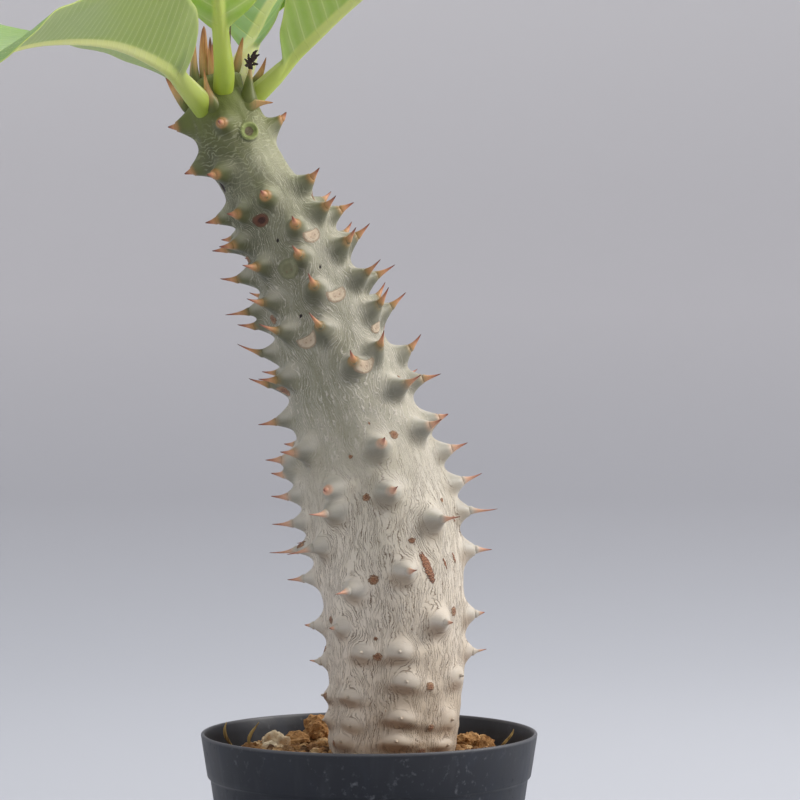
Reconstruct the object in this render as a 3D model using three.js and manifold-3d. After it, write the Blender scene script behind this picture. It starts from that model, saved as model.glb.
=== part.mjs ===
// A young Pachypodium baronii, one leaning spiny stem with a crown of leaves, in a round nursery pot.
// Millimetres, +Z up. The origin is the centre of the pot's underside, and the front faces -Y.
import * as THREE from 'three';
import { mergeVertices } from 'three/addons/utils/BufferGeometryUtils.js';
import Module from 'manifold-3d';

const wasm = await Module();
wasm.setup();

const gap = 0.3; // left between pieces that touch
const leastDetail = 0.12; // edges that stand out less than this are merged away

// Pot
const potHeight = 92;
const rimRadius = 52.5;
const potBaseRadius = 38;
const potWall = 1.3;
const potFloor = 1.8;
const bandHeight = 13.5;
const bandStep = 0.8; // how far the rim band stands out of the wall
const bandBlend = 0.6; // height of the slope under the band
const innerBlend = 1; // half the height of the same slope on the inside
const lipRound = 0.6;
const footChamfer = 1;
const drainHoleRadius = 4;
const drainHoleCircle = 27;
const drainHoleCount = 8;
const holeSides = 12;
const potSides = 36;
const wallSlope = (rimRadius - bandStep - potBaseRadius) / potHeight;

// Soil
const soilTop = 84.5;
const soilMound = 1.4; // how much higher the soil lies round the stem
const grainCount = 60;
const grainRadius = [2.8, 4.4];
const grainBias = 1.6; // above 1 there are more small grains than big ones
const grainsFrom = 19; // the innermost grains lie against the stem
const grainLift = -0.3; // share of its radius that a grain's centre lies above the soil
const bigGrainLift = 0.5; // share of its radius that a big lump's centre lies above the soil
// Lumps that stand out of the rest: place in the pot and radius
const bigGrains = [
  [-17.5, 32, 5.2], [-24, 33, 3.4], [-23, 25, 3.6], [31, 19, 4.4], [37, 16, 3.2], [36, 24, 3],
];
const lumpRoughness = [0.82, 1.15]; // how far a lump's corners lie from its centre, as shares of its radius
const lumpFlatness = 0.85;

// Loose pumice on the soil: place in the pot and radius
const pumiceStones = [[-30.5, 23, 4.2], [-33.5, 31, 3], [-31.5, 13.5, 2.8], [13, 40, 3.6], [-12, -38, 3.8]];
const stoneLift = 0.45;
const stoneGap = 1.4 * gap; // measured at the corners, so that the flats keep the gap too

// Dry scraps that stand in the soil: where the foot is, where the tip is, and how high it rises
const dryScraps = [
  { foot: [-43, 12], tip: [-45, 12], rise: 10 },
  { foot: [-38, 19], tip: [-36.5, 18.5], rise: 9 },
  { foot: [41.5, 9], tip: [44, 9], rise: 8 },
];
const scrapRadius = 0.65;
const scrapDepth = 3;
const scrapShape = [[0, 0.8], [0.4, 1], [0.62, 1.4], [0.8, 1.2], [1, 0.5]]; // shares of length and radius
const scrapSides = 6;
const scrapFlatness = 0.6;
const scrapCurl = 1.1;

// Stem: its axis from the buried tip to the growing point
const stemAxis = [
  [6.2, 0, 46],
  [6.8, 0, 66],
  [7.0, 0, 86],
  [8.4, 0.5, 113],
  [5.8, 1.5, 148],
  [-3.3, 2.5, 186],
  [-15.6, 2.5, 223.5],
  [-27.0, 1.5, 249],
  [-40.4, 0, 273.7],
  [-45.8, -0.8, 286.5],
  [-47.8, -1.2, 295],
];
// Stem radius at a height along the axis above the soil. Below 0 it is the root crown in the soil.
const stemProfile = [
  [-38, 3], [-34, 8], [-24, 14], [-10, 18], [0, 19.2], [12, 20.2], [38, 21.4], [63, 22.6], [76, 22],
  [89, 21], [102, 19.4], [115, 18], [128, 16.6], [141, 15.4], [162, 14.2], [178, 12.3], [190, 10.9],
  [206, 11.1], [213, 10.4], [218, 8],
];
const stemSides = 26;
const stemStep = 4.5;
const topRise = 2.6; // the growing point is a low dome
const topShare = 0.45;

// Spines of the front half: height along the stem above the soil, angle round it in degrees, where 0 faces
// -Y and 90 faces +X, degrees of tilt towards the growing point, and length. A worn spine has length 0.
const frontSpines = [
  [217, 75, 76, 16], [219, -8, 82, 15], [216, -75, 88, 12], [214, -6, 78, 10], [213, 105, 45, 9],
  [215, -88, 70, 10], [211, -88, 14, 6], [208, 51, 2, 7], [207, -3, -8, 6], [200, 88, 25, 6],
  [199, -88, 2, 6], [194, -40, 11, 6], [182, -88, 12, 7], [180, -38, 12, 7], [180, 3, 20, 6],
  [179, 63, 15, 7.5], [172, -88, 12, 8], [172, -61, 12, 7.5], [170, 55, 7, 8.5], [168, 88, -2, 8],
  [168, 16, 20, 7.5], [162, -41, 14, 8.5], [161, -88, 21, 9], [159, 6, 20, 8.5], [158, 88, 12, 9],
  [157, 57, 25, 8.5], [150, -88, 10, 11], [150, -49, 18, 9.5], [148, 6, 29, 8.5], [147, 62, 11, 10.5],
  [146, 88, 2, 10], [144, -96, 20, 9], [139, -41, 22, 10.5], [136, 61, 33, 9.5], [135, -1, 38, 9.5],
  [135, 88, 20, 10], [134, -88, 30, 12], [125, -59, 12, 9.5], [124, -88, 25, 10], [124, 41, 30, 9.5],
  [122, 15, 24, 8.5], [121, 88, 25, 9], [113, 88, -10, 9], [113, -88, 1, 9], [112, 50, 3, 9.5],
  [101, -56, 10, 7.5], [100, 88, -2, 6], [100, -87, 11, 8], [98, 59, 5, 7], [95, -94, 14, 7],
  [96, 13, 15, 6], [90, 88, -2, 8], [88, -87, 8, 8], [87, -30, 1, 4], [82, 10, -5, 7.5],
  [80, -34, -4, 9.5], [80, 88, 0, 9], [79, -88, 5, 9], [72, 88, -18, 11], [71, 42, -8, 9.5],
  [70, -88, -4, 11], [70, -55, -9, 10.5], [61, 88, -12, 7], [59, -83, -2, 7], [58, 11, -10, 7],
  [54, -29, -12, 7.5], [43, 84, 0, 4], [42, 38, -10, 4], [42, -88, 0, 4], [42, -45, -10, 4],
  [34, -26, 0, 0], [34, 3, 0, 0], [32, 88, 0, 5], [30, -88, 0, 4], [26, 60, 0, 0], [25, 8, 0, 0],
  [19, -40, 0, 0], [18, -77, 0, 0], [14, 5, 0, 0], [14, 53, 0, 0], [10, -38, 0, 0], [10, -75, 0, 0],
  [7, 3, 0, 0], [6, 52, 0, 0], [5, -48, 0, 0],
];
// A bulbous spine near the top with a withered flower stalk stuck to its tip
const stalkSpine = [212, 42, 70, 9];
const stalkSize = 1.6;
const stalkSink = 0.2; // share of its radius that the stalk's centre lies below the spine's tip
const farSideLift = 2.5; // the spines behind repeat the front ones, turned half a turn and this much higher
const farSideWidest = 62; // degrees from the front beyond which a spine isn't repeated behind

const cushionHeight = 2.1; // each spine stands on a cushion
const cushionWidth = 2.7;
const wornHeight = 1.3; // worn cushions spread sideways into low ridges
const wornWidth = 4.8;
const wornRise = 2;
const spineSides = 5;
const spineFoot = 3.7; // radius of a spine where it meets the skin
const spineRoot = 1.5; // depth of the foot in its cushion
const spineWaist = [0.33, 0.38]; // a spine narrows to this share of its foot at this share of its length
const spineBend = 0.1;
const spineStray = 0.25; // how far spines lean aside at random

// Leaves: the midrib from inside the stem to the tip, the blade's full width, how far its left and right
// halves are folded up at the foot and at the tip, and the petiole's share of the length
const leaves = [
  {
    name: 'leaf_1',
    midrib: [
      [-49.5, -6, 283], [-53, -12, 289], [-61, -25, 296], [-75, -46, 300.5], [-91, -74, 297.5],
      [-103, -98, 290], [-113, -118, 280],
    ],
    width: 64, foldLeft: [54, 4], foldRight: [8, 16], petiole: 0.15,
  },
  {
    name: 'leaf_2',
    midrib: [
      [-45.5, -6, 290], [-44.6, -11.5, 297], [-45.4, -13, 307], [-46.2, -16, 320], [-47, -25, 350],
      [-49, -44, 383], [-52, -68, 407], [-53, -80, 414],
    ],
    width: 50, foldLeft: [26, 14], foldRight: [30, 14], petiole: 0.145,
  },
  {
    name: 'leaf_3',
    midrib: [
      [-42, 1, 287], [-35.4, 0, 292], [-20, -4, 305.5], [-4.3, -8, 319.4], [28, -20, 344], [56, -32, 358],
      [74, -41, 362],
    ],
    width: 50, foldLeft: [18, 10], foldRight: [52, 24], petiole: 0.14,
  },
  {
    name: 'leaf_4',
    midrib: [
      [-44, 3, 291], [-40, 6, 301], [-34.5, 11, 312], [-28.6, 16, 323], [-13, 31, 350], [6, 49, 372],
      [21, 65, 383],
    ],
    width: 50, foldLeft: [26, 12], foldRight: [24, 12], petiole: 0.16,
  },
  {
    name: 'leaf_5',
    midrib: [
      [-45, 4, 285], [-43.5, 11, 291], [-41, 18, 302], [-38.5, 25, 315], [-33, 44, 342], [-28, 68, 362],
      [-25, 94, 369],
    ],
    width: 50, foldLeft: [26, 12], foldRight: [26, 12], petiole: 0.3,
  },
  {
    name: 'leaf_6',
    midrib: [
      [-52, 3, 285], [-57, 8, 290.5], [-63.5, 14, 299], [-72, 21, 309], [-93, 37, 327], [-116, 54, 336],
      [-138, 70, 334],
    ],
    width: 48, foldLeft: [26, 12], foldRight: [26, 12], petiole: 0.18,
  },
  {
    name: 'leaf_7',
    midrib: [
      [-52, 0, 286], [-57, 1, 290], [-63, 2, 298], [-69, 3, 308], [-77, 3, 320], [-95, 2, 341],
      [-116, -2, 356], [-141, -8, 363],
    ],
    width: 48, foldLeft: [22, 10], foldRight: [30, 14], petiole: 0.2,
  },
  {
    name: 'young_leaf',
    midrib: [[-47.5, 0, 290], [-46.8, 1, 300], [-45.6, 4, 317], [-43, 9, 336], [-39, 16, 354]],
    width: 17, foldLeft: [50, 34], foldRight: [50, 34], petiole: 0.4,
  },
];
const leafSteps = 13;
const leafCrowding = 1.25; // above 1 the sections lie closer together at the foot
const leafThickness = 0.8;
const bladeLean = 0.84; // below 1 the widest place lies nearer the foot
const bladeFullness = 0.6; // below 1 the outline is blunter
const petioleRadius = 2.9;
const petioleFlatness = 0.6; // of the petiole's upper side
const petioleEdge = 0.2;
const midribDepth = 1.6; // how far the midrib stands out of the underside near the petiole
const midribShare = 0.27; // share of the half width at the section's midrib point
const midribGroove = 0.2; // how deep the midrib lies in the upper face
const midribTaper = 0.8;
const bladePoint = 0.62; // share of the half width at the section's point in the blade
const waveHeight = 1.2;
const waveCount = 3;
const waveEnd = 0.2; // the waves die out in this last share of the leaf
const fullLength = 130; // a leaf at least this long has the full petiole and midrib

// A repeatable random number from 0 to 1 for each seed
function random(seed) {
  const x = Math.sin(seed * 12.9898 + 78.233) * 43758.5453;
  return x - Math.floor(x);
}

const degrees = Math.PI / 180;
const up = new THREE.Vector3(0, 0, 1);
const mix = THREE.MathUtils.lerp;
const smooth = THREE.MathUtils.smoothstep;
const gauss = (x, width) => Math.exp(-0.5 * (x / width) ** 2);

// A closed geometry as a solid for cutting and joining
function solidOf(geometry) {
  const flat = geometry.index ? geometry.toNonIndexed() : geometry;
  const bare = new THREE.BufferGeometry().setAttribute('position', flat.getAttribute('position'));
  const merged = mergeVertices(bare, 1e-4);
  return new wasm.Manifold(new wasm.Mesh({
    numProp: 3,
    vertProperties: merged.attributes.position.array,
    triVerts: new Uint32Array(merged.index.array),
  }));
}

function geometryOf(solid) {
  const mesh = solid.getMesh();
  const positions = new Float32Array(mesh.numVert * 3);
  for (let i = 0; i < mesh.numVert; i++) {
    positions.set(mesh.vertProperties.subarray(i * mesh.numProp, i * mesh.numProp + 3), i * 3);
  }
  return new THREE.BufferGeometry()
    .setAttribute('position', new THREE.BufferAttribute(positions, 3))
    .setIndex(new THREE.BufferAttribute(mesh.triVerts, 1));
}

// The biggest body of a solid: a cut can leave loose scraps
function biggest(solid) {
  return solid.decompose().reduce((a, b) => (b.volume() > a.volume() ? b : a));
}

// Joins rings of points, each of the same count, into one closed skin with a fan over each end
function skinRings(rings) {
  const count = rings[0].length;
  const points = rings.flat();
  const triangles = [];
  for (let r = 0; r + 1 < rings.length; r++) {
    for (let i = 0; i < count; i++) {
      const a = r * count + i;
      const b = r * count + (i + 1) % count;
      triangles.push(a, b, b + count, a, b + count, a + count);
    }
  }
  for (const [first, flip] of [[0, true], [points.length - count, false]]) {
    const middle = new THREE.Vector3();
    for (let i = 0; i < count; i++) middle.addScaledVector(points[first + i], 1 / count);
    points.push(middle);
    for (let i = 0; i < count; i++) {
      const a = first + i;
      const b = first + (i + 1) % count;
      triangles.push(...(flip ? [b, a] : [a, b]), points.length - 1);
    }
  }
  return new THREE.BufferGeometry().setFromPoints(points).setIndex(triangles);
}

// A smooth curve through a list of [x, y] pairs
function profileAt(profile, x) {
  const last = profile.length - 1;
  if (x <= profile[0][0]) return profile[0][1];
  if (x >= profile[last][0]) return profile[last][1];
  const i = profile.findIndex((p, k) => k < last && x < profile[k + 1][0]);
  const slope = (k) => {
    const a = profile[Math.max(0, k - 1)];
    const b = profile[Math.min(last, k + 1)];
    return (b[1] - a[1]) / (b[0] - a[0]);
  };
  const [x0, y0] = profile[i];
  const [x1, y1] = profile[i + 1];
  const width = x1 - x0;
  const t = (x - x0) / width;
  return y0 * (2 * t ** 3 - 3 * t ** 2 + 1) + slope(i) * width * (t ** 3 - 2 * t ** 2 + t)
    + y1 * (3 * t ** 2 - 2 * t ** 3) + slope(i + 1) * width * (t ** 3 - t ** 2);
}

// Stem

const axisCurve = new THREE.CatmullRomCurve3(
  stemAxis.map((p) => new THREE.Vector3(...p)), false, 'catmullrom', 0.5);
const axisLength = axisCurve.getLength();
const buriedLength = (() => {
  let share = 0;
  while (axisCurve.getPointAt(share).z < soilTop) share += 0.0005;
  return share * axisLength;
})();
const stemTop = axisLength - buriedLength;

// Where the axis is at a height along the stem, and the directions along it, to its front and to its right
function axisFrame(height) {
  const share = THREE.MathUtils.clamp((height + buriedLength) / axisLength, 0, 1);
  const along = axisCurve.getTangentAt(share);
  const front = new THREE.Vector3(0, -1, 0).addScaledVector(along, along.y).normalize();
  const right = new THREE.Vector3().crossVectors(front, along).negate();
  return { centre: axisCurve.getPointAt(share), along, front, right };
}

const turned = (angle) => ((angle % 360) + 540) % 360 - 180;
const spines = [
  ...frontSpines,
  stalkSpine,
  ...frontSpines.filter(([, angle]) => Math.abs(angle) < farSideWidest)
    .map(([height, angle, tilt, length]) => [height + farSideLift, turned(180 - angle), tilt, length]),
];

// How far the skin stands out of the stem's plain outline: cushions under the spines
function bulge(height, angle, radius) {
  let sum = 0;
  for (const [spineHeight, spineAngle, , length] of spines) {
    const rise = height - spineHeight;
    if (Math.abs(rise) > 4 * cushionWidth) continue;
    const side = turned(angle - spineAngle) * degrees * radius;
    sum += length > 0
      ? cushionHeight * gauss(side, cushionWidth) * gauss(rise, cushionWidth)
      : wornHeight * gauss(side, wornWidth) * gauss(rise, wornRise);
  }
  return sum;
}

function stemRadius(height, angle) {
  const radius = profileAt(stemProfile, height);
  return radius + bulge(height, angle, radius);
}

// A point at a height along the stem and an angle round it, at a distance out from the skin
function stemPoint(height, angle, out = 0) {
  const { centre, front, right } = axisFrame(height);
  const outward = new THREE.Vector3()
    .addScaledVector(front, Math.cos(angle * degrees))
    .addScaledVector(right, Math.sin(angle * degrees));
  return { point: centre.addScaledVector(outward, stemRadius(height, angle) + out), outward };
}

function stemSkin(grow = 0) {
  const rings = [];
  const steps = Math.round(axisLength / stemStep);
  for (let i = 0; i <= steps; i++) {
    const height = -buriedLength + axisLength * i / steps;
    const ring = [];
    for (let k = 0; k < stemSides; k++) {
      ring.push(stemPoint(height, 360 * k / stemSides, grow).point);
    }
    rings.push(ring);
  }
  const { centre, along } = axisFrame(stemTop);
  rings.push(rings[rings.length - 1].map((p) => p.clone().sub(centre)
    .multiplyScalar(topShare)
    .addScaledVector(along, topRise + grow)
    .add(centre)));
  return skinRings(rings);
}

// A thorn along +Z: a broad foot that narrows to a needle, bent a little towards +X
function thorn(length, grow) {
  const [waistShare, waistPlace] = spineWaist;
  const outline = [
    [0, -spineRoot],
    [spineFoot + grow, -spineRoot],
    [waistShare * spineFoot + grow, waistPlace * length],
    [0, length + 2 * grow],
  ].map(([radius, z]) => new THREE.Vector2(radius, z));
  const geometry = new THREE.LatheGeometry(outline, spineSides).rotateX(Math.PI / 2);
  const position = geometry.attributes.position;
  for (let i = 0; i < position.count; i++) {
    const z = Math.max(0, position.getZ(i));
    position.setX(i, position.getX(i) + spineBend * z * z / length);
  }
  return geometry;
}

// Where a spine stands, with +Z along it and +X towards the growing point
function spineFrame([height, angle, tilt], seed) {
  const { point, outward } = stemPoint(height, angle);
  const { along } = axisFrame(height);
  const sideways = new THREE.Vector3().crossVectors(along, outward);
  const direction = outward.multiplyScalar(Math.cos(tilt * degrees))
    .addScaledVector(along, Math.sin(tilt * degrees))
    .addScaledVector(sideways, spineStray * (random(seed) - 0.5))
    .normalize();
  const x = new THREE.Vector3().crossVectors(sideways, direction).negate().normalize();
  const y = new THREE.Vector3().crossVectors(direction, x);
  return new THREE.Matrix4().makeBasis(x, y, direction).setPosition(point);
}

function spineSolids(grow = 0) {
  const solids = [];
  spines.forEach((spine, i) => {
    const [, , , length] = spine;
    if (length > 0) solids.push(solidOf(thorn(length, grow).applyMatrix4(spineFrame(spine, i))));
  });
  const stalk = lump(stalkSize + grow, 7).translate(0, 0, stalkSpine[3] - stalkSink * stalkSize);
  solids.push(solidOf(stalk.applyMatrix4(spineFrame(stalkSpine, frontSpines.length))));
  return solids;
}

const stemSolid = wasm.Manifold.union([solidOf(stemSkin()), ...spineSolids()]).simplify(leastDetail);
const stemRoom = wasm.Manifold.union([solidOf(stemSkin(gap)), ...spineSolids(gap)]);

// Leaves

// Places along a leaf, with the directions along the midrib, to its right and out of its upper face
function leafStations({ midrib }) {
  const curve = new THREE.CatmullRomCurve3(
    midrib.map((p) => new THREE.Vector3(...p)), false, 'catmullrom', 0.5);
  const span = curve.points[midrib.length - 1].clone().sub(curve.points[0]);
  const level = new THREE.Vector3().crossVectors(span, up).normalize();
  const stations = [];
  for (let i = 0; i <= leafSteps; i++) {
    const t = (i / leafSteps) ** leafCrowding;
    const along = curve.getTangentAt(t);
    const right = level.clone().addScaledVector(along, -level.dot(along)).normalize();
    const above = new THREE.Vector3().crossVectors(right, along);
    stations.push({ t, centre: curve.getPointAt(t), right, above });
  }
  return { stations, length: curve.getLength() };
}

// Half the blade's width as a share of its widest, from its foot at 0 to its tip at 1
function bladeShape(t) {
  return Math.sin(Math.PI * THREE.MathUtils.clamp(t, 0, 1) ** bladeLean) ** bladeFullness;
}

// A leaf: a round petiole that widens into a thin waved blade with its midrib standing out below
function leafSkin(leaf, seed) {
  const { stations, length } = leafStations(leaf);
  const scale = Math.min(1, length / fullLength);
  const across = [-1, -bladePoint, -midribShare, 0, midribShare, bladePoint, 1];
  const rings = stations.map(({ t, centre, right, above }) => {
    const blade = smooth(t, leaf.petiole - 0.04, leaf.petiole + 0.05);
    const rib = petioleRadius * scale * (1 - midribTaper * t);
    const bladeT = (t - leaf.petiole) / (1 - leaf.petiole);
    const halfWidth = Math.max(rib, leaf.width / 2 * bladeShape(bladeT));
    const top = [];
    const bottom = [];
    for (const w of across) {
      const ribShare = Math.min(1, Math.abs(w) / midribShare);
      const outer = Math.max(0, (Math.abs(w) - midribShare) / (1 - midribShare));
      const spread = 0.8 * rib * ribShare + (halfWidth - 0.8 * rib) * outer;
      const fold = mix(...(w < 0 ? leaf.foldLeft : leaf.foldRight), t) * degrees * blade;
      const phase = 2 * Math.PI * (waveCount * t + random(seed + (w < 0 ? 0 : 0.5)));
      const wave = waveHeight * scale * blade * outer ** 2 * Math.sin(phase) * smooth(1 - t, 0, waveEnd);
      const x = Math.sign(w) * mix(rib * Math.sin(Math.abs(w) * Math.PI / 2), spread, blade);
      const round = rib * Math.cos(w * Math.PI / 2);
      const ridge = midribDepth * scale * (1 - midribTaper * t) * (1 - ribShare);
      const half = mix(petioleEdge, leafThickness / 2, blade);
      const upper = mix(petioleFlatness * round, midribGroove * (ribShare - 1), blade) + half;
      const lower = -mix(round, ridge, blade) - half;
      for (const [row, height] of [[top, upper], [bottom, lower]]) {
        const lateral = x * Math.cos(fold) - Math.sign(w) * height * Math.sin(fold) * outer;
        const raised = Math.abs(x) * Math.sin(fold) + height * mix(1, Math.cos(fold), outer) + wave;
        row.push(centre.clone().addScaledVector(right, lateral).addScaledVector(above, raised));
      }
    }
    return [...bottom.reverse(), ...top];
  });
  return skinRings(rings);
}

const leafSolid = (leaf, seed) => biggest(solidOf(leafSkin(leaf, seed)).subtract(stemRoom));

// Pot

const outerWall = (z) => potBaseRadius + wallSlope * z;
const innerWall = (z) => outerWall(z) - potWall;

// The pot's section, from the middle of its underside round the lip to the middle of its floor
function potOutline() {
  const bandFoot = potHeight - bandHeight;
  const lip = [];
  for (let i = 0; i <= 4; i++) {
    const a = Math.PI * i / 4;
    lip.push([rimRadius - lipRound + lipRound * Math.cos(a), potHeight - lipRound + lipRound * Math.sin(a)]);
  }
  return [
    [0, 0],
    [potBaseRadius - footChamfer, 0],
    [potBaseRadius, footChamfer],
    [outerWall(bandFoot - bandBlend), bandFoot - bandBlend],
    [outerWall(bandFoot) + bandStep, bandFoot],
    ...lip,
    [innerWall(bandFoot + innerBlend) + bandStep, bandFoot + innerBlend],
    [innerWall(bandFoot - innerBlend), bandFoot - innerBlend],
    [innerWall(potFloor), potFloor],
    [0, potFloor],
  ];
}

function potSolid() {
  const outline = potOutline().map((p) => new THREE.Vector2(...p));
  const body = solidOf(new THREE.LatheGeometry(outline, potSides).rotateX(Math.PI / 2));
  const holes = [];
  for (let i = 0; i < drainHoleCount; i++) {
    const a = 2 * Math.PI * (i + 0.5) / drainHoleCount;
    const hole = new THREE.CylinderGeometry(drainHoleRadius, drainHoleRadius, 4 * potFloor, holeSides)
      .rotateX(Math.PI / 2)
      .translate(drainHoleCircle * Math.cos(a), drainHoleCircle * Math.sin(a), 0);
    holes.push(solidOf(hole));
  }
  return body.subtract(wasm.Manifold.union(holes));
}

// Soil

const soilHeight = (radius) => soilTop + soilMound * (1 - 2 * radius / rimRadius);

// A rough lump: a 20-sided ball with its corners pushed in and out
function lump(radius, seed) {
  const ball = new THREE.IcosahedronGeometry(radius);
  const corners = new THREE.BufferGeometry().setAttribute('position', ball.attributes.position);
  const geometry = mergeVertices(corners, 1e-3);
  const position = geometry.attributes.position;
  const corner = new THREE.Vector3();
  for (let i = 0; i < position.count; i++) {
    corner.fromBufferAttribute(position, i).multiplyScalar(mix(...lumpRoughness, random(seed + i * 0.37)));
    position.setXYZ(i, corner.x, corner.y, corner.z * lumpFlatness);
  }
  return geometry.rotateZ(seed).rotateX(seed * 0.7);
}

// A lump whose centre lies a share of its radius above the soil
function lumpOnSoil(x, y, size, lift, seed, grow = 0) {
  const z = soilHeight(Math.hypot(x, y)) + size * lift;
  return solidOf(lump(size + grow, seed).translate(x, y, z));
}

function soilSolid() {
  const rim = innerWall(soilTop) - gap;
  const floor = potFloor + gap;
  const outline = [
    [0, floor],
    [innerWall(floor) - gap, floor],
    [rim, soilHeight(rim)],
    [0, soilHeight(0)],
  ].map((p) => new THREE.Vector2(...p));
  const bed = solidOf(new THREE.LatheGeometry(outline, potSides).rotateX(Math.PI / 2));
  const grains = bigGrains.map(([x, y, size], i) => lumpOnSoil(x, y, size, bigGrainLift, 200 + i));
  const goldenAngle = Math.PI * (3 - Math.sqrt(5));
  for (let i = 0; i < grainCount; i++) {
    const size = mix(...grainRadius, random(i + 300) ** grainBias);
    const outer = rim - size * lumpRoughness[1] - gap;
    const radius = Math.sqrt(mix(grainsFrom ** 2, outer ** 2, (i + 0.5) / grainCount));
    const a = i * goldenAngle + 0.3 * (random(i + 400) - 0.5);
    grains.push(lumpOnSoil(radius * Math.cos(a), radius * Math.sin(a), size, grainLift, i + 1));
  }
  return wasm.Manifold.union([bed, ...grains]);
}

// Loose on the soil

const stones = pumiceStones.map(([x, y, size], i) => ({
  solid: lumpOnSoil(x, y, size, stoneLift, 40 + i),
  room: lumpOnSoil(x, y, size, stoneLift, 40 + i, stoneGap),
}));

function scrapSolid({ foot, tip, rise }, grow) {
  const ground = soilHeight(Math.hypot(...foot));
  const base = new THREE.Vector3(...foot, ground - scrapDepth);
  const along = new THREE.Vector3(...tip, ground + rise).sub(base);
  const rings = scrapShape.map(([place, width]) => {
    const radius = scrapRadius * width + grow;
    const centre = base.clone().addScaledVector(along, place * (1 + grow / along.length()));
    centre.x += scrapCurl * Math.sin(Math.PI * place * 1.5);
    const ring = [];
    for (let k = 0; k < scrapSides; k++) {
      const a = 2 * Math.PI * k / scrapSides;
      const flattened = scrapFlatness * radius * Math.sin(a);
      ring.push(new THREE.Vector3(radius * Math.cos(a), flattened, 0).add(centre));
    }
    return ring;
  });
  return solidOf(skinRings(rings));
}

const scraps = dryScraps.map((scrap) => ({ solid: scrapSolid(scrap, 0), room: scrapSolid(scrap, gap) }));

// The part

const colours = {
  pot: { color: 0x23262d, roughness: 0.5 },
  soil: { color: 0x8a5a34, roughness: 1 },
  pumice: { color: 0xc9b08a, roughness: 1 },
  scrap: { color: 0x9c8251, roughness: 0.9 },
  stem: { color: 0xb9b5a0, roughness: 0.75 },
  leaf: { color: 0x7fa23f, roughness: 0.5 },
};

const plant = new THREE.Group();

function add(name, solid, colour) {
  const mesh = new THREE.Mesh(
    geometryOf(solid), new THREE.MeshStandardMaterial({ ...colours[colour], metalness: 0 }));
  mesh.name = name;
  plant.add(mesh);
}

const soilHoles = wasm.Manifold.union([stemRoom, ...[...stones, ...scraps].map(({ room }) => room)]);
add('pot', potSolid(), 'pot');
add('soil', biggest(soilSolid().subtract(soilHoles)).simplify(leastDetail), 'soil');
add('stem', stemSolid, 'stem');
leaves.forEach((leaf, i) => add(leaf.name, leafSolid(leaf, i + 1), 'leaf'));
stones.forEach(({ solid }, i) => add(`pumice_${i + 1}`, solid, 'pumice'));
scraps.forEach(({ solid }, i) => add(`dry_scrap_${i + 1}`, solid, 'scrap'));

export default plant;
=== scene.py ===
import math
import random
import bmesh
import bpy
import numpy as np
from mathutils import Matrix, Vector, noise


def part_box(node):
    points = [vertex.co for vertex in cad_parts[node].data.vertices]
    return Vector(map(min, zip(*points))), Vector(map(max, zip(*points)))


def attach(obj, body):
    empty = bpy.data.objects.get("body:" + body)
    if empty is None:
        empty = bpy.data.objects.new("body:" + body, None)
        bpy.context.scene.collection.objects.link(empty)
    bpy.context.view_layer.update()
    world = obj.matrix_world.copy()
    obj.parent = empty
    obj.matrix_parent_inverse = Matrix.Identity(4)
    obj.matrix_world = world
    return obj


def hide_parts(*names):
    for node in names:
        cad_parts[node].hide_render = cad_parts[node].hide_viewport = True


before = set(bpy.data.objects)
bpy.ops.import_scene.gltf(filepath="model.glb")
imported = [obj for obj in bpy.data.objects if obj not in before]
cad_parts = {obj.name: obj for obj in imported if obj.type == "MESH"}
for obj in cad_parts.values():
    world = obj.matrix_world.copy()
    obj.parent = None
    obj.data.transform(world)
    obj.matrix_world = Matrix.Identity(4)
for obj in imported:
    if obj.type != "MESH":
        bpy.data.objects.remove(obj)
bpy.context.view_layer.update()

# A young potted Pachypodium baronii. Shapes are worked out in millimetres and put into the meshes in metres.
mm = 0.001
scene = bpy.context.scene


# Camera: level, in front of the plant

camera = {"place": (0.0096, -0.819, 0.1956), "lens": 117.9, "sensor": 36, "nearest": 0.01}


def makeCamera():
    data = bpy.data.cameras.new("camera")
    data.lens = camera["lens"]
    data.sensor_width = camera["sensor"]
    data.clip_start = camera["nearest"]
    eye = bpy.data.objects.new("camera", data)
    eye.location = camera["place"]
    eye.rotation_euler = (math.pi / 2, 0, 0)
    scene.collection.objects.link(eye)
    scene.camera = eye


makeCamera()
print("camera is set")


# Shader maths: a socket that Python's operators work on

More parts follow.
